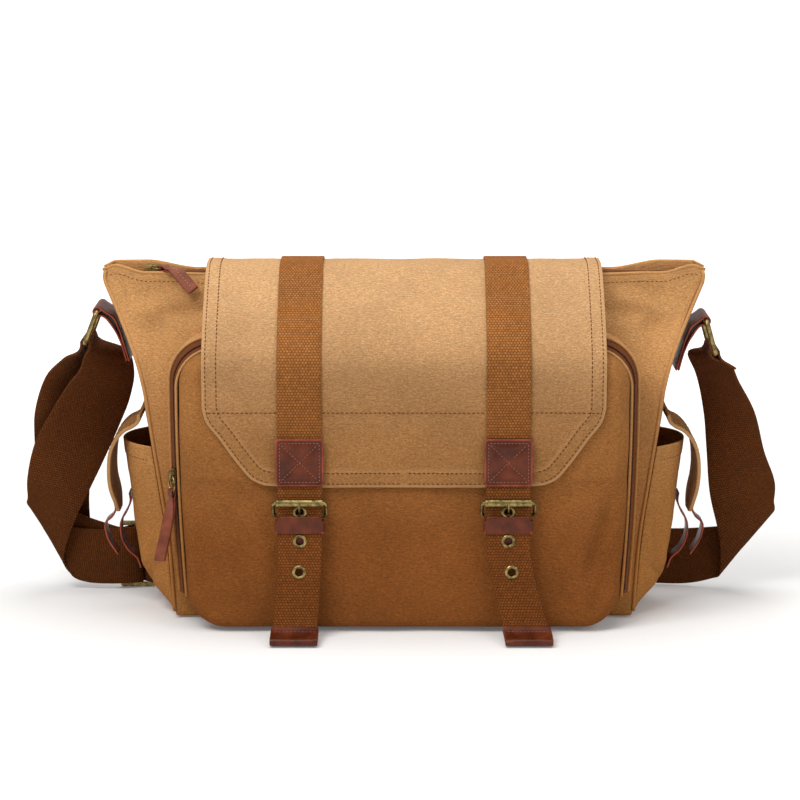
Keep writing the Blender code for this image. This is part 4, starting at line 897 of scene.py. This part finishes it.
rows = []
for inset in (3.0, 11.8):
    for flip in (-1, 1):
        rows += [(flap_cloth, run, (0, -0.6, 0.6)) for run in clear_of_straps(hem_track(inset, flip))]
seam_share = (FLAP_LENGTH - 62) / FLAP_LENGTH
rows += [(flap_cloth, run, (0, -1, 0.2))
         for run in clear_of_straps(line((0.01, seam_share), (0.99, seam_share), 200))]
stitching("flap_stitching", rows, THREAD, "flap_body", length=3.0, width=0.9)


# Flap straps and buckles

ROLLER = (-109.9, 113.0)
HEEL = (-102.2, 101.0)
STRAP_HALF = 18.0
DRIFT = {"left": -5.0, "right": 18.0}
strap_path = evenly(shifted(flap_profile, -1.4)[2:-1] + smoothed(plane(
    (-102.0, 124), (-104.6, 113), (-107.2, 101), (-108.7, 74), (-109.2, 52), (-111.2, 28), (-117.7, 12),
    (-127.7, 5.5), (-138, 3.9)), 2.0), 2.2)
strap_runs = [0.0]
for before, after in zip(strap_path, strap_path[1:]):
    strap_runs.append(strap_runs[-1] + (after - before).length)


def strap_x(side_name, point):
    slack = max(74 - point.y, 0) / 74 if point.x < -101.6 else 0
    return SIDES[side_name] * 85 + DRIFT[side_name] * slack ** 1.3


def strap_at(z):
    for above, below in zip(strap_path, strap_path[1:]):
        if above.x < -101.6 and above.y >= z > below.y:
            share = (above.y - z) / (above.y - below.y)
            return above.lerp(below, share), (above - below).normalized()


def seat_matrix(origin, x_axis, y_axis):
    x_axis, y_axis = Vector(x_axis).normalized(), Vector(y_axis).normalized()
    turn = Matrix((x_axis, y_axis, x_axis.cross(y_axis))).transposed()
    return Matrix.Translation(Vector(origin) * MM) @ turn.to_4x4()


def turned(name, profile, matrix, finish, body, nodes, slot="brass", steps=32):
    """A closed profile of (radius, height) points turned about Z."""
    shape = bmesh.new()
    verts = [shape.verts.new((radius * MM, 0, height * MM)) for radius, height in profile]
    edges = [shape.edges.new((vert, verts[(n + 1) % len(verts)])) for n, vert in enumerate(verts)]
    bmesh.ops.spin(shape, geom=verts + edges, cent=(0, 0, 0), axis=(0, 0, 1), angle=2 * math.pi, steps=steps,
                   use_merge=True)
    bmesh.ops.remove_doubles(shape, verts=shape.verts, dist=1e-7)
    bmesh.ops.recalc_face_normals(shape, faces=shape.faces)
    shape.transform(matrix)
    made = finish_piece(name, shape, [finish], body, nodes, slot)
    made.data.set_sharp_from_angle(angle=math.radians(50))
    return made


def flap_strap(side_name):
    def place(across, point):
        soft = 0.25 * lumps(across, point.x, point.y + 300, 26)
        return Vector((strap_x(side_name, point) + across, point.x - soft, point.y))

    made, _ = strip(side_name + "_strap_web", strap_path, STRAP_HALF, place, (0, -0.5, 0.5), 1.9, [STRAP_WEB],
                    "flap_body", (side_name + "_strap",), "webbing", columns=8)
    holes = bmesh.new()
    for number, drop in enumerate((8.5, 32, 58)):
        point, travel = strap_at(113 - drop)
        centre = (strap_x(side_name, point), point.x, point.y)
        seat = seat_matrix(centre, (1, 0, 0), (0, travel.x, travel.y))
        profile = [(3.2, 1.55), (3.5, 2.0), (4.3, 2.25), (5.2, 2.0), (5.75, 1.4), (3.7, 1.35),
                   (3.7, -1.35), (5.7, -1.4), (5.7, -1.9), (3.2, -1.9)]
        turned(f"{side_name}_grommet_{number + 1}", profile, seat, BRASS, "flap_body",
               (f"{side_name}_eyelet_{number + 1}",))
        bmesh.ops.create_cone(holes, cap_ends=True, segments=24, radius1=3.6 * MM, radius2=3.6 * MM,
                              depth=12 * MM, matrix=seat)
    punch_mesh = bpy.data.meshes.new("punch")
    holes.to_mesh(punch_mesh)
    holes.free()
    punch = bpy.data.objects.new("punch", punch_mesh)
    scene.collection.objects.link(punch)
    cut = made.modifiers.new("holes", "BOOLEAN")
    cut.operation = "DIFFERENCE"
    cut.solver = "EXACT"
    cut.object = punch
    bpy.context.view_layer.update()
    graph = bpy.context.evaluated_depsgraph_get()
    punched = bpy.data.meshes.new_from_object(made.evaluated_get(graph))
    made.modifiers.clear()
    made.data = punched
    bpy.data.objects.remove(punch, do_unlink=True)

    tail = [point for point, run in zip(strap_path, strap_runs) if run > strap_runs[-1] - 20]
    travel = (tail[-1] - tail[-2]).normalized()
    heading = math.degrees(math.atan2(travel.y, travel.x))
    spread = 2.2
    end = arc(tail[-1] + travel * 0.4, spread, heading - 90, heading + 90, 8)
    tip_path = shifted(tail, -spread) + end + list(reversed(shifted(tail, spread)))
    spine = [strap_x(side_name, point) for point in tail]
    order = spine + [spine[-1]] * len(end) + list(reversed(spine))

    def tip_lay(across, share):
        number = round(min(max(share, 0), 1) * (len(tip_path) - 1))
        bend = 0.7 * math.sin(share * 9 + SIDES[side_name])
        return Vector((order[number] + (2 * across - 1) * (STRAP_HALF + 1.4), tip_path[number].x,
                       tip_path[number].y + bend * (abs(2 * across - 1) ** 3) * (1 if share < 0.5 else 0)))

    made = finish_piece(side_name + "_tip_hide", cut_sheet(10, len(tip_path) - 1, tip_lay, (0, -0.7, -0.2)),
                        [HIDE, RAW_EDGE], "flap_body", (side_name + "_strap_tip",), "leather")
    thicken(made, 1.5, 0, 1)
    stitching(side_name + "_tip_stitching", [(tip_lay, line((0.06, 0.09), (0.94, 0.09), 40), (0, -0.5, 0.8))],
              PATCH_THREAD, "flap_body", pitch=3.2, length=2.2, width=0.6, lift=0.8)


def buckle(side_name):
    x = SIDES[side_name] * 85.0

    def patch_lay(across, up):
        """A square with rounded corners, puffed between its seams."""
        wide, high = (2 * across - 1) * 19.5, (2 * up - 1) * 19.5
        past_x, past_z = abs(wide) - 16.5, abs(high) - 16.5
        if past_x > 0 and past_z > 0:
            shrink = max(past_x, past_z) / math.hypot(past_x, past_z)
            wide = math.copysign(16.5 + past_x * shrink, wide)
            high = math.copysign(16.5 + past_z * shrink, high)
        seam = min(abs(max(abs(wide), abs(high)) - 16.2), abs(wide - high) / 1.41, abs(wide + high) / 1.41)
        puff = 1.1 * (1 - math.exp(-(seam / 2.0) ** 2))
        return Vector((x + wide, -104.75 - puff, 145.5 + high))

    made = finish_piece(side_name + "_patch_hide", cut_sheet(36, 36, patch_lay, (0, -1, 0)), [HIDE, RAW_EDGE],
                        "flap_body", (side_name + "_patch",), "leather")
    for face in made.data.polygons:
        middle = face.center / MM
        if max(abs(middle.x - x), abs(middle.z - 145.5)) > 18.4:
            face.material_index = 1
    thicken(made, 1.5, -1, 1)

    def patch_face(across, up):
        return Vector((x + (across - 0.5) * 39, -104.9, 126 + up * 39))

    frame_track = [(0.085, 0.085), (0.915, 0.085), (0.915, 0.915), (0.085, 0.915), (0.085, 0.085)]
    rows = [(patch_face, line(a, b), (0, -1, 0)) for a, b in zip(frame_track, frame_track[1:])]
    rows += [(patch_face, line((0.12, 0.12), (0.88, 0.88)), (0, -1, 0)),
             (patch_face, line((0.12, 0.88), (0.88, 0.12)), (0, -1, 0))]
    stitching(side_name + "_patch_stitching", rows, PATCH_THREAD, "flap_body", pitch=2.9, length=2.1, width=0.7,
              lift=0.3)

    half_frame = 21.6
    tilt = Vector((0, ROLLER[0] - HEEL[0], ROLLER[1] - HEEL[1]))
    centre = Vector((x, (ROLLER[0] + HEEL[0]) / 2, (ROLLER[1] + HEEL[1]) / 2))
    rim = rounded_box(half_frame, tilt.length / 2, 2.6, 6)
    bent = [centre + Vector((point.x, 0, 0)) + tilt.normalized() * point.y for point in rim]
    tube(side_name + "_buckle_wire", bent, 1.6, BRASS, "flap_body", (side_name + "_buckle_frame",), "brass",
         closed=True, sides=6)
    roll = 19.0
    profile = [(2.0, roll), (3.1, roll), (3.6, roll - 0.7), (3.45, roll - 2.2), (3.45, 2.2 - roll),
               (3.6, 0.7 - roll), (3.1, -roll), (2.0, -roll)]
    turned(side_name + "_roller_sleeve", profile, seat_matrix((x, *ROLLER), (0, 1, 0), (0, 0, 1)), BRASS,
           side_name + "_roller_body", (side_name + "_roller",))
    eye = strap_at(104.5)[0]
    clear = 5.2
    path = arc(HEEL, 2.8, 200, 440, 18) + smoothed([
        eye, Vector((eye.x - 3.2, eye.y + 0.5)), Vector((ROLLER[0] - clear * 0.6, 113 - clear * 1.05)),
        Vector((ROLLER[0] - clear * 1.02, 113 - clear * 0.4)), Vector((ROLLER[0] - clear * 1.05, 114))], 0.8)
    tube(side_name + "_prong_pin", [(x, point.x, point.y) for point in path], 0.9, BRASS,
         side_name + "_prong_body", (side_name + "_prong",), "brass", sides=4)

    heights = [64, 72, 80, 88]
    tab_path = [Vector((-103.6, z)) for z in heights] + arc(HEEL, 2.8, -60, 190, 20)
    tab_path += [Vector((-105.6, z)) for z in reversed(heights)]

    def tab_place(across, point):
        return Vector((x + across, point.x, point.y))

    made, _ = strip(side_name + "_tab_hide", tab_path, 15.0, tab_place, (0, 0.3, 1), 1.5, [HIDE, RAW_EDGE],
                    "flap_body", (side_name + "_buckle_tab",), "leather", columns=10, edge=1)
    slot = bmesh.new()
    bmesh.ops.create_cube(slot, size=1)
    bmesh.ops.scale(slot, vec=(12.4 * MM, 13 * MM, 12.5 * MM), verts=slot.verts)
    bmesh.ops.translate(slot, vec=Vector((x, HEEL[0], HEEL[1] + 0.75)) * MM, verts=slot.verts)
    slot_mesh = bpy.data.meshes.new("slot")
    slot.to_mesh(slot_mesh)
    slot.free()
    punch = bpy.data.objects.new("slot", slot_mesh)
    scene.collection.objects.link(punch)
    cut = made.modifiers.new("slot", "BOOLEAN")
    cut.operation = "DIFFERENCE"
    cut.solver = "EXACT"
    cut.object = punch
    bpy.context.view_layer.update()
    punched = bpy.data.meshes.new_from_object(made.evaluated_get(bpy.context.evaluated_depsgraph_get()))
    made.modifiers.clear()
    made.data = punched
    bpy.data.objects.remove(punch, do_unlink=True)

    band = rounded_box(19.6, 6.1, 2.4, 6)
    band = evenly(band + [band[0]], 1.2)
    middle_y = -104.6

    def keeper_lay(around, up):
        point = along(band, around)
        rise = 4.8 * max(1 - (point.x / 19) ** 14, 0) if point.y < -4.5 else 0
        return Vector((x + point.x, middle_y + point.y, 87.5 + (9.5 + rise) * up))

    made = finish_piece(side_name + "_keeper_hide",
                        cut_sheet(len(band) - 1, 6, keeper_lay, (0, -1, 0), closed=True), [HIDE, RAW_EDGE],
                        "flap_body", (side_name + "_keeper",), "leather")
    for face in made.data.polygons:
        if face.center.z < 88.5 * MM:
            face.material_index = 1
    thicken(made, 1.5, 0, 1)


for side_name in SIDES:
    flap_strap(side_name)
    buckle(side_name)


# Side pockets

def side_bulge(z):
    rise = (z - 5) / 141
    return 25 * (1 - (1 - min(rise / 0.25, 1)) ** 2) * (1 - 0.25 * rise)


def gusset_x(z, y):
    """The gusset's outer face at a height and depth."""
    return half_width(z) - gusset_bow(z) * min(abs(y) / half_depth(z), 1.0) ** 2


def side_wall(z):
    return half_width(z) + 2.4 + side_bulge(z)


def side_pocket(side_name, side):
    def lay(across, share):
        z = 5 + 141 * share
        spread = 2 * across - 1
        y = side * spread * (half_depth(z) - 4)
        soft = 1.3 * lumps(side * 70, y, z, 30) + 0.6 * lumps(side * 70, y, z, 13)
        soft -= fold(spread * 48, z, (-46, 52), (-8, 26), 6, 7.0) + fold(spread * 48, z, (46, 48), (6, 22), 6, 7.0)
        soft -= fold(spread * 48, z, (-42, 104), (-26, 34), 6, 5.0) + fold(spread * 48, z, (42, 98), (28, 34), 6, 5.0)
        swell = max(1 - abs(spread) ** 2.6, 0)
        hem = 0.7 * (1 - ease(146 - z, 11.0, 13.0))
        out = gusset_x(z, y) + 2.2 + side_bulge(z) * swell + min(soft, 1.0) * swell ** 0.5 + hem * swell
        return Vector((side * out, y, z))

    def hem_wear(across, share):
        return 0.45 * ease(share, 0.985, 1.0) + 0.2 * math.exp(-((share - 0.91) / 0.012) ** 2)

    made = finish_piece(side_name + "_pocket_cloth", cut_sheet(56, 70, lay, (side, 0, 0), wear=hem_wear),
                        [BODY_CANVAS], "bag", (side_name + "_side_pocket",), "canvas")
    thicken(made, 1.8, -1)
    stitching(side_name + "_pocket_stitching", [(lay, line((0.03, 0.915), (0.97, 0.915), 120), (side, 0, 0.2))],
              THREAD, "bag", width=0.65)

    root = Vector((221.98, 170))
    fall = plane((0, 0), (0.4, -5), (5, -9.5), (12, -13), (19, -20), (24.5, -31), (26.5, -46), (26, -62),
                 (22.5, -77), (21, -88))
    flap_path = smoothed([root + point for point in fall], 2.0)

    def flap_lay(across, share):
        point = along(flap_path, share)
        drop = (170 - point.y) / 88
        wide = (33 - 6 * drop) * math.sqrt(max(1 - (max(drop - 0.75, 0) / 0.27) ** 2, 0))
        y = side * (2 * across - 1) * wide
        soft = 0.5 * lumps(side * 20, y, point.y, 20)
        return Vector((side * (point.x + soft), y, point.y))

    def flap_wear(across, share):
        rim = min(across, 1 - across, (1 - share) * 1.4)
        return 0.5 * (1 - ease(rim, 0.01, 0.07))

    made = finish_piece(side_name + "_side_flap_cloth", cut_sheet(30, 60, flap_lay, (side, 0, 0), wear=flap_wear),
                        [FLAP_CANVAS], side_name + "_side_flap_body", (side_name + "_side_flap",), "flap_canvas")
    thicken(made, 2.8, 0)
    run_length(flap_path) * MM
    rows = []
    for inset in (0.07, 0.2):
        rows.append((flap_lay, line((inset, 0.1), (inset, 0.9), 80), (side, 0, 0)))
        rows.append((flap_lay, line((1 - inset, 0.1), (1 - inset, 0.9), 80), (side, 0, 0)))
        rows.append((flap_lay, line((inset, 0.93 - inset * 0.4), (1 - inset, 0.93 - inset * 0.4), 60), (side, 0, 0)))
    stitching(side_name + "_side_flap_stitching", rows, THREAD, side_name + "_side_flap_body", width=0.65,
              lift=1.5)

    def narrow(across, point):
        return Vector((side * point.x, side * across, point.y))

    lay_off = 2.7
    hang = plane((26.2, -62), (22.9, -77), (21.3, -88), (24, -93), (29.5, -98), (28.5, -111), (20, -126))
    hang = smoothed([root + point + Vector((lay_off, 0)) for point in hang], 2.5)
    strip(side_name + "_side_strap_hide", hang, 9.0, narrow, (side, 0, 0), 1.5, [HIDE, RAW_EDGE],
          side_name + "_side_flap_body", (side_name + "_side_flap_strap",), "leather", edge=1)
    stand = [(98, 1.4), (91, 1.4), (83, 5), (73, 11.5), (59, 13), (48, 9), (40, 1.9), (32, 1.4)]
    loop = smoothed([Vector((side_wall(z) + out, z)) for z, out in stand], 2.0)
    strip(side_name + "_side_loop_hide", loop, 9.0, narrow, (side, 0, 0), 1.5, [HIDE, RAW_EDGE], "bag",
          (side_name + "_side_pocket_loop",), "leather", edge=1)


for side_name, side in SIDES.items():
    side_pocket(side_name, side)


# Rings, ring tabs and the shoulder strap

RING_TOP, RING_FOOT = {}, {}
for side_name, (top_z, top_out, foot_z, foot_out) in {
        "left": (256, 14, 230, 32.5), "right": (248, 13, 221, 29)}.items():
    RING_TOP[side_name] = Vector((half_width(top_z) + top_out, top_z))
    RING_FOOT[side_name] = Vector((half_width(foot_z) + foot_out, foot_z))


def ring_and_tab(side_name, side):
    top, foot = RING_TOP[side_name], RING_FOOT[side_name]
    drop = (foot - top).length
    bent = []
    for point in rounded_box(28, drop / 2, 3.2, 6):
        place = top.lerp(foot, 0.5 - point.y / drop)
        bent.append((side * place.x, point.x, place.y))
    tube(side_name + "_ring_wire", bent, 2.2, BRASS, side_name + "_ring_body", (side_name + "_ring",), "brass",
         closed=True, sides=6)

    def on_gusset(z, out):
        return Vector((half_width(z) + out, z))

    foot_z = top.y - 42
    path = [on_gusset(foot_z, 1.2), on_gusset(top.y - 26, 1.2), on_gusset(top.y - 14, 1.2),
            on_gusset(top.y - 6, 2.5)]
    path += arc(top, 3.4, 140, -110, 14)
    path += [on_gusset(top.y - 14, 5.2), on_gusset(top.y - 25, 3.3), on_gusset(foot_z, 3.2)]
    path = smoothed(path, 2.5)

    def place(across, point):
        return Vector((side * point.x, side * across, point.y))

    _, lay = strip(side_name + "_ring_tab_hide", path, 22.0, place, (side, 0, 0), 1.5, [HIDE, RAW_EDGE], "bag",
                   (side_name + "_ring_tab",), "leather", edge=1)
    stitching(side_name + "_ring_tab_stitching", [
        (lay, line((0.08, 0.985), (0.92, 0.985)), (side, 0, -0.2)),
        (lay, line((0.08, 0.8), (0.92, 0.8)), (side, 0, -0.2))], PATCH_THREAD, "bag", lift=0.9, width=0.6)


for side_name, side in SIDES.items():
    ring_and_tab(side_name, side)


def pair(side_name, inner, outer):
    """A strap station: each edge's way out from the bag's side, back from its rear corner, and share of height."""
    ends = []
    for out, back, share in (inner, outer):
        z = share * RING_FOOT[side_name].y
        ends += [SIDES[side_name] * (half_width(z) + out), 52 + back, z]
    return Vector(ends)


def upright(x, back, foot):
    return Vector((x, 52 + back, foot, x, 52 + back, foot + 50))


def wrap(side_name, start, end):
    side = SIDES[side_name]
    return [Vector((side * p.x, 25, p.y, side * p.x, -25, p.y))
            for p in arc(RING_FOOT[side_name], 3.6, start, end, 10)]


def standing(x, y):
    return Vector((x, y, 4.8, x, y, 54.8))


right_fall = [
    pair("right", (29.7, -26.4, 0.937), (51.5, -71.8, 0.937)),
] + wrap("right", -15, 195) + [
    pair("right", (14, -25, 0.965), (46, -71, 0.95)),
    pair("right", (25, -23, 0.89), (56, -66, 0.89)),
    pair("right", (39.1, -18, 0.733), (78, -50, 0.751)),
    pair("right", (48.3, -16, 0.57), (96, -32, 0.575)),
    pair("right", (58.3, -15, 0.389), (111.5, -20, 0.448)),
    pair("right", (75.2, -16, 0.183), (114.6, -17, 0.366)),
    pair("right", (79.5, -11, 0.059), (115.5, -11, 0.308)),
    pair("right", (75, -6, 0.036), (97, -6, 0.262)),
    pair("right", (59.5, -2, 0.014), (70, -2, 0.243)),
    pair("right", (45.8, 2, 0.005), (42.2, 2, 0.231)),
    pair("right", (12.8, 6.5, 0.005), (6.2, 6.5, 0.231)),
    upright(149.4, 9, 1),
]
middle = [upright(0, 10, 1)]
adjuster = (-233.0, 48.0)
left_run = [
    upright(-149.4, 9, 1), upright(-202, 5.5, 3),
    standing(-212, 49.6), standing(-219, 43.68), standing(-226, 49.2),
    *[standing(*point) for point in arc(adjuster, 6.72, 60, 120, 4)],
    standing(-240, 49.2), standing(-247, 43.68),
    pair("left", (66.8, -6, 0.035), (55.3, -6, 0.248)),
    pair("left", (75.2, -6, 0.052), (80.7, -6, 0.291)),
    pair("left", (80.9, -5, 0.074), (108.6, -5, 0.365)),
    pair("left", (86.3, 1, 0.058), (113.9, 1, 0.352)),
    pair("left", (81.6, 7, 0.083), (111.2, 7, 0.378)),
    pair("left", (70, 6, 0.339), (111.2, 3, 0.448)),
    pair("left", (61, -2, 0.483), (105.9, -10, 0.57)),
    pair("left", (49.6, -5, 0.635), (98.3, -24, 0.7)),
    pair("left", (41, -6, 0.765), (82.4, -34, 0.835)),
    pair("left", (35.7, -18, 0.887), (58.3, -58, 0.926)),
] + wrap("left", -15, 195) + [
    pair("left", (7, -24, 0.93), (38, -70, 0.945)),
    pair("left", (8, -16, 0.85), (46, -63, 0.89)),
    pair("left", (15, -11, 0.76), (60, -50, 0.83)),
    pair("left", (31, -9, 0.63), (83.1, -34, 0.704)),
    pair("left", (51, -12, 0.487), (104.5, -25, 0.57)),
    pair("left", (66.6, -19, 0.381), (116, -24, 0.44)),
    pair("left", (80.3, -20.5, 0.288), (118.4, -21.5, 0.377)),
    pair("left", (98.4, -16, 0.121), (118.6, -16, 0.324)),
    pair("left", (97.3, -11.5, 0.073), (109.5, -11.5, 0.275)),
    pair("left", (92.7, -11, 0.042), (96, -11, 0.25)),
    pair("left", (82.2, -11, 0.026), (81.3, -11, 0.238)),
    pair("left", (61.5, -11, 0.02), (58.6, -11, 0.232)),
    standing(-247, 40.88),
    *[standing(*point) for point in arc(adjuster, 3.52, -75, 105, 10)],
]


def shoulder_strap(name, stations, out, nodes=()):
    route = evenly(smoothed(stations, 5.0), 5.0)

    def lay(across, share):
        station = along(route, share)
        return Vector(station[:3]).lerp(Vector(station[3:]), across)

    made = finish_piece(name, cut_sheet(8, len(route) - 1, lay, out), [SHOULDER_WEB], None, nodes,
                        "shoulder_webbing")
    thicken(made, 1.9, 0)
    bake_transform(made)
    return lay, len(route)


shoulder_strap("right_shoulder_web", right_fall + middle, (1, 0, 0),
               ("shoulder_strap",))
shoulder_strap("left_shoulder_web", middle + left_run, (1, 0, 0))


# Zip pulls

def pull_fold(length):
    """A strip folded round a ring's wire: distance from the ring's far side, and height."""
    close = 0.85
    lower = [(length - length * n / 24 * (1 - 7 / length), -close) for n in range(25)] + [(4.5, -close), (2, -1.85)]
    loop = arc((-0.9, 0), 1.85, -90, -270, 10)
    return plane(*lower) + loop + [Vector((x, -y)) for x, y in reversed(lower)]


def pull_half(distance):
    return (7 + 3 * ease(distance, 3, 10)) / 2


def zip_pulls():
    fold_path = smoothed(pull_fold(40), 1.5)
    slant_x, slant_y = math.sin(math.radians(40)), math.cos(math.radians(40))
    bend, bend_radius, bend_start = math.radians(62), 3.5, 17.0
    run = bend * bend_radius

    def top_lay(across, share):
        point = along(fold_path, share)
        sideways = (2 * across - 1) * pull_half(point.x)
        x = -212 + 7 * (1 + slant_x) + point.x * slant_x + sideways * slant_y
        forward = 7 * slant_y + point.x * slant_y - sideways * slant_x
        turn = min(max(forward - bend_start, 0.0) / run, 1.0) * bend
        rest = max(forward - bend_start - run, 0.0)
        radius = bend_radius + point.y
        y = min(forward, bend_start) + radius * math.sin(turn) + rest * math.cos(bend)
        return Vector((x, -y, 290 - bend_radius + radius * math.cos(turn) - rest * math.sin(bend)))

    made = finish_piece("top_pull_hide", cut_sheet(8, len(fold_path) - 1, top_lay, (0, -0.2, 1)),
                        [PULL_HIDE, RAW_EDGE], "top_pull_body", ("top_zip_pull",), "leather")
    thicken(made, 1.2, 0, 1)
    stitching("top_pull_stitching", [(top_lay, line((0.5, 0.66), (0.5, 0.98), 60), (0, -0.5, 0.8))], PULL_THREAD,
              "top_pull_body", pitch=3.0, length=1.4, width=1.1, lift=0.6)

    wall_run = Vector((19, -42, 0)).normalized()
    origin = Vector((-200 + pocket_inset(POCKET_ZIP_Y) + pocket_taper(128), POCKET_ZIP_Y, 128))
    hang_path = smoothed(pull_fold(58), 2.0)
    up, side_axis = Vector((0, 0, 1)), -wall_run
    out = up.cross(side_axis)

    def side_lay(across, share):
        point = along(hang_path, share)
        sideways = (2 * across - 1) * pull_half(point.x)
        turn = Matrix.Rotation(math.radians(38) * ease(point.x, 2, 26), 3, "Z")
        slant = Vector((-9 * ease(point.x, 14, 70), 0, 0)) + out * (3.0 + 3.4 * ease(point.x, 2, 26))
        return origin + up * (-14 - point.x) + slant + turn @ (side_axis * sideways + out * point.y)

    made = finish_piece("pocket_pull_hide", cut_sheet(8, len(hang_path) - 1, side_lay, out), [PULL_HIDE, RAW_EDGE],
                        "pocket_pull_body", ("pocket_zip_pull",), "leather")
    thicken(made, 1.2, 0, 1)


zip_pulls()


# CAD pieces that stay as they are

for name in ("top_zip_slider", "top_zip_ring", "pocket_zip_slider", "pocket_zip_ring", "strap_adjuster",
             "left_snap_socket", "left_snap_cap", "right_snap_socket", "right_snap_cap"):
    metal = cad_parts[name]
    metal.data.materials.clear()
    metal.data.materials.append(BRASS)


# Floor, light and camera

floor_shape = bmesh.new()
bmesh.ops.create_grid(floor_shape, x_segments=1, y_segments=1, size=30)
floor_mesh = bpy.data.meshes.new("floor")
floor_shape.to_mesh(floor_mesh)
floor_shape.free()
floor = bpy.data.objects.new("floor", floor_mesh)
floor.location.z = -0.0004
scene.collection.objects.link(floor)
pale, tree = new_finish("pale_floor")
rays = node(tree, "LightPath")
seen = node(tree, "Math", {0: rays.outputs["Is Camera Ray"], 1: rays.outputs["Is Glossy Ray"]},
            operation="MAXIMUM")
plain = node(tree, "BsdfDiffuse", {"Color": colour("#EFEEEC")})
away = node(tree, "VectorMath", {0: node(tree, "TexCoord").outputs["Object"]}, operation="LENGTH")
lift = node(tree, "MapRange", {"Value": away.outputs["Value"], "From Min": 0.4, "From Max": 1.5, "To Min": 0.1,
                               "To Max": 0.8})
glow = node(tree, "Emission", {"Color": (1, 1, 1, 1), "Strength": lift.outputs[0]})
both = node(tree, "AddShader", {0: plain.outputs[0], 1: glow.outputs[0]})
choice = node(tree, "MixShader", {0: seen.outputs[0], 1: plain.outputs[0], 2: both.outputs[0]})
node(tree, "OutputMaterial", {"Surface": choice.outputs[0]})
floor_mesh.materials.append(pale)

world = bpy.data.worlds.new("studio")
scene.world = world
world.use_nodes = True
world.node_tree.nodes.clear()
rays = node(world.node_tree, "LightPath")
shine = node(world.node_tree, "Math", {0: rays.outputs["Is Glossy Ray"], 1: 0.35}, operation="MULTIPLY")
seen = node(world.node_tree, "Math", {0: rays.outputs["Is Camera Ray"], 1: shine.outputs[0]}, operation="MAXIMUM")
level = node(world.node_tree, "MapRange", {"Value": seen.outputs[0], "To Min": 0.3, "To Max": 1.0})
sky = node(world.node_tree, "Background", {"Color": (1, 1, 1, 1), "Strength": level.outputs[0]})
node(world.node_tree, "OutputWorld", {"Surface": sky.outputs[0]})


def softbox(name, place, power, size):
    lamp = bpy.data.lights.new(name, "AREA")
    lamp.energy = power
    lamp.size = size
    held = bpy.data.objects.new(name, lamp)
    held.location = place
    aim = Vector((0, 0, 0.14)) - Vector(place)
    held.rotation_euler = aim.to_track_quat("-Z", "Y").to_euler()
    scene.collection.objects.link(held)


softbox("key", (-1.0, -1.2, 2.1), 36, 1.2)
softbox("fill", (1.6, -1.6, 1.3), 11, 1.4)
softbox("top", (0.2, 0.2, 2.1), 24, 1.6)

lens = bpy.data.cameras.new("camera")
lens.lens = 36 * 2706 / 800
lens.shift_x = -4 / 800
lens.shift_y = 30.7 / 800
lens.clip_end = 100
camera = bpy.data.objects.new("camera", lens)
target = Vector((0, 0, 0.15))
camera.location = target + 2.3 * Vector((0, -math.cos(math.radians(12)), math.sin(math.radians(12))))
camera.rotation_euler = (target - camera.location).to_track_quat("-Z", "Y").to_euler()
scene.collection.objects.link(camera)
scene.camera = camera
scene.view_settings.view_transform = "Standard"

bpy.context.view_layer.update()
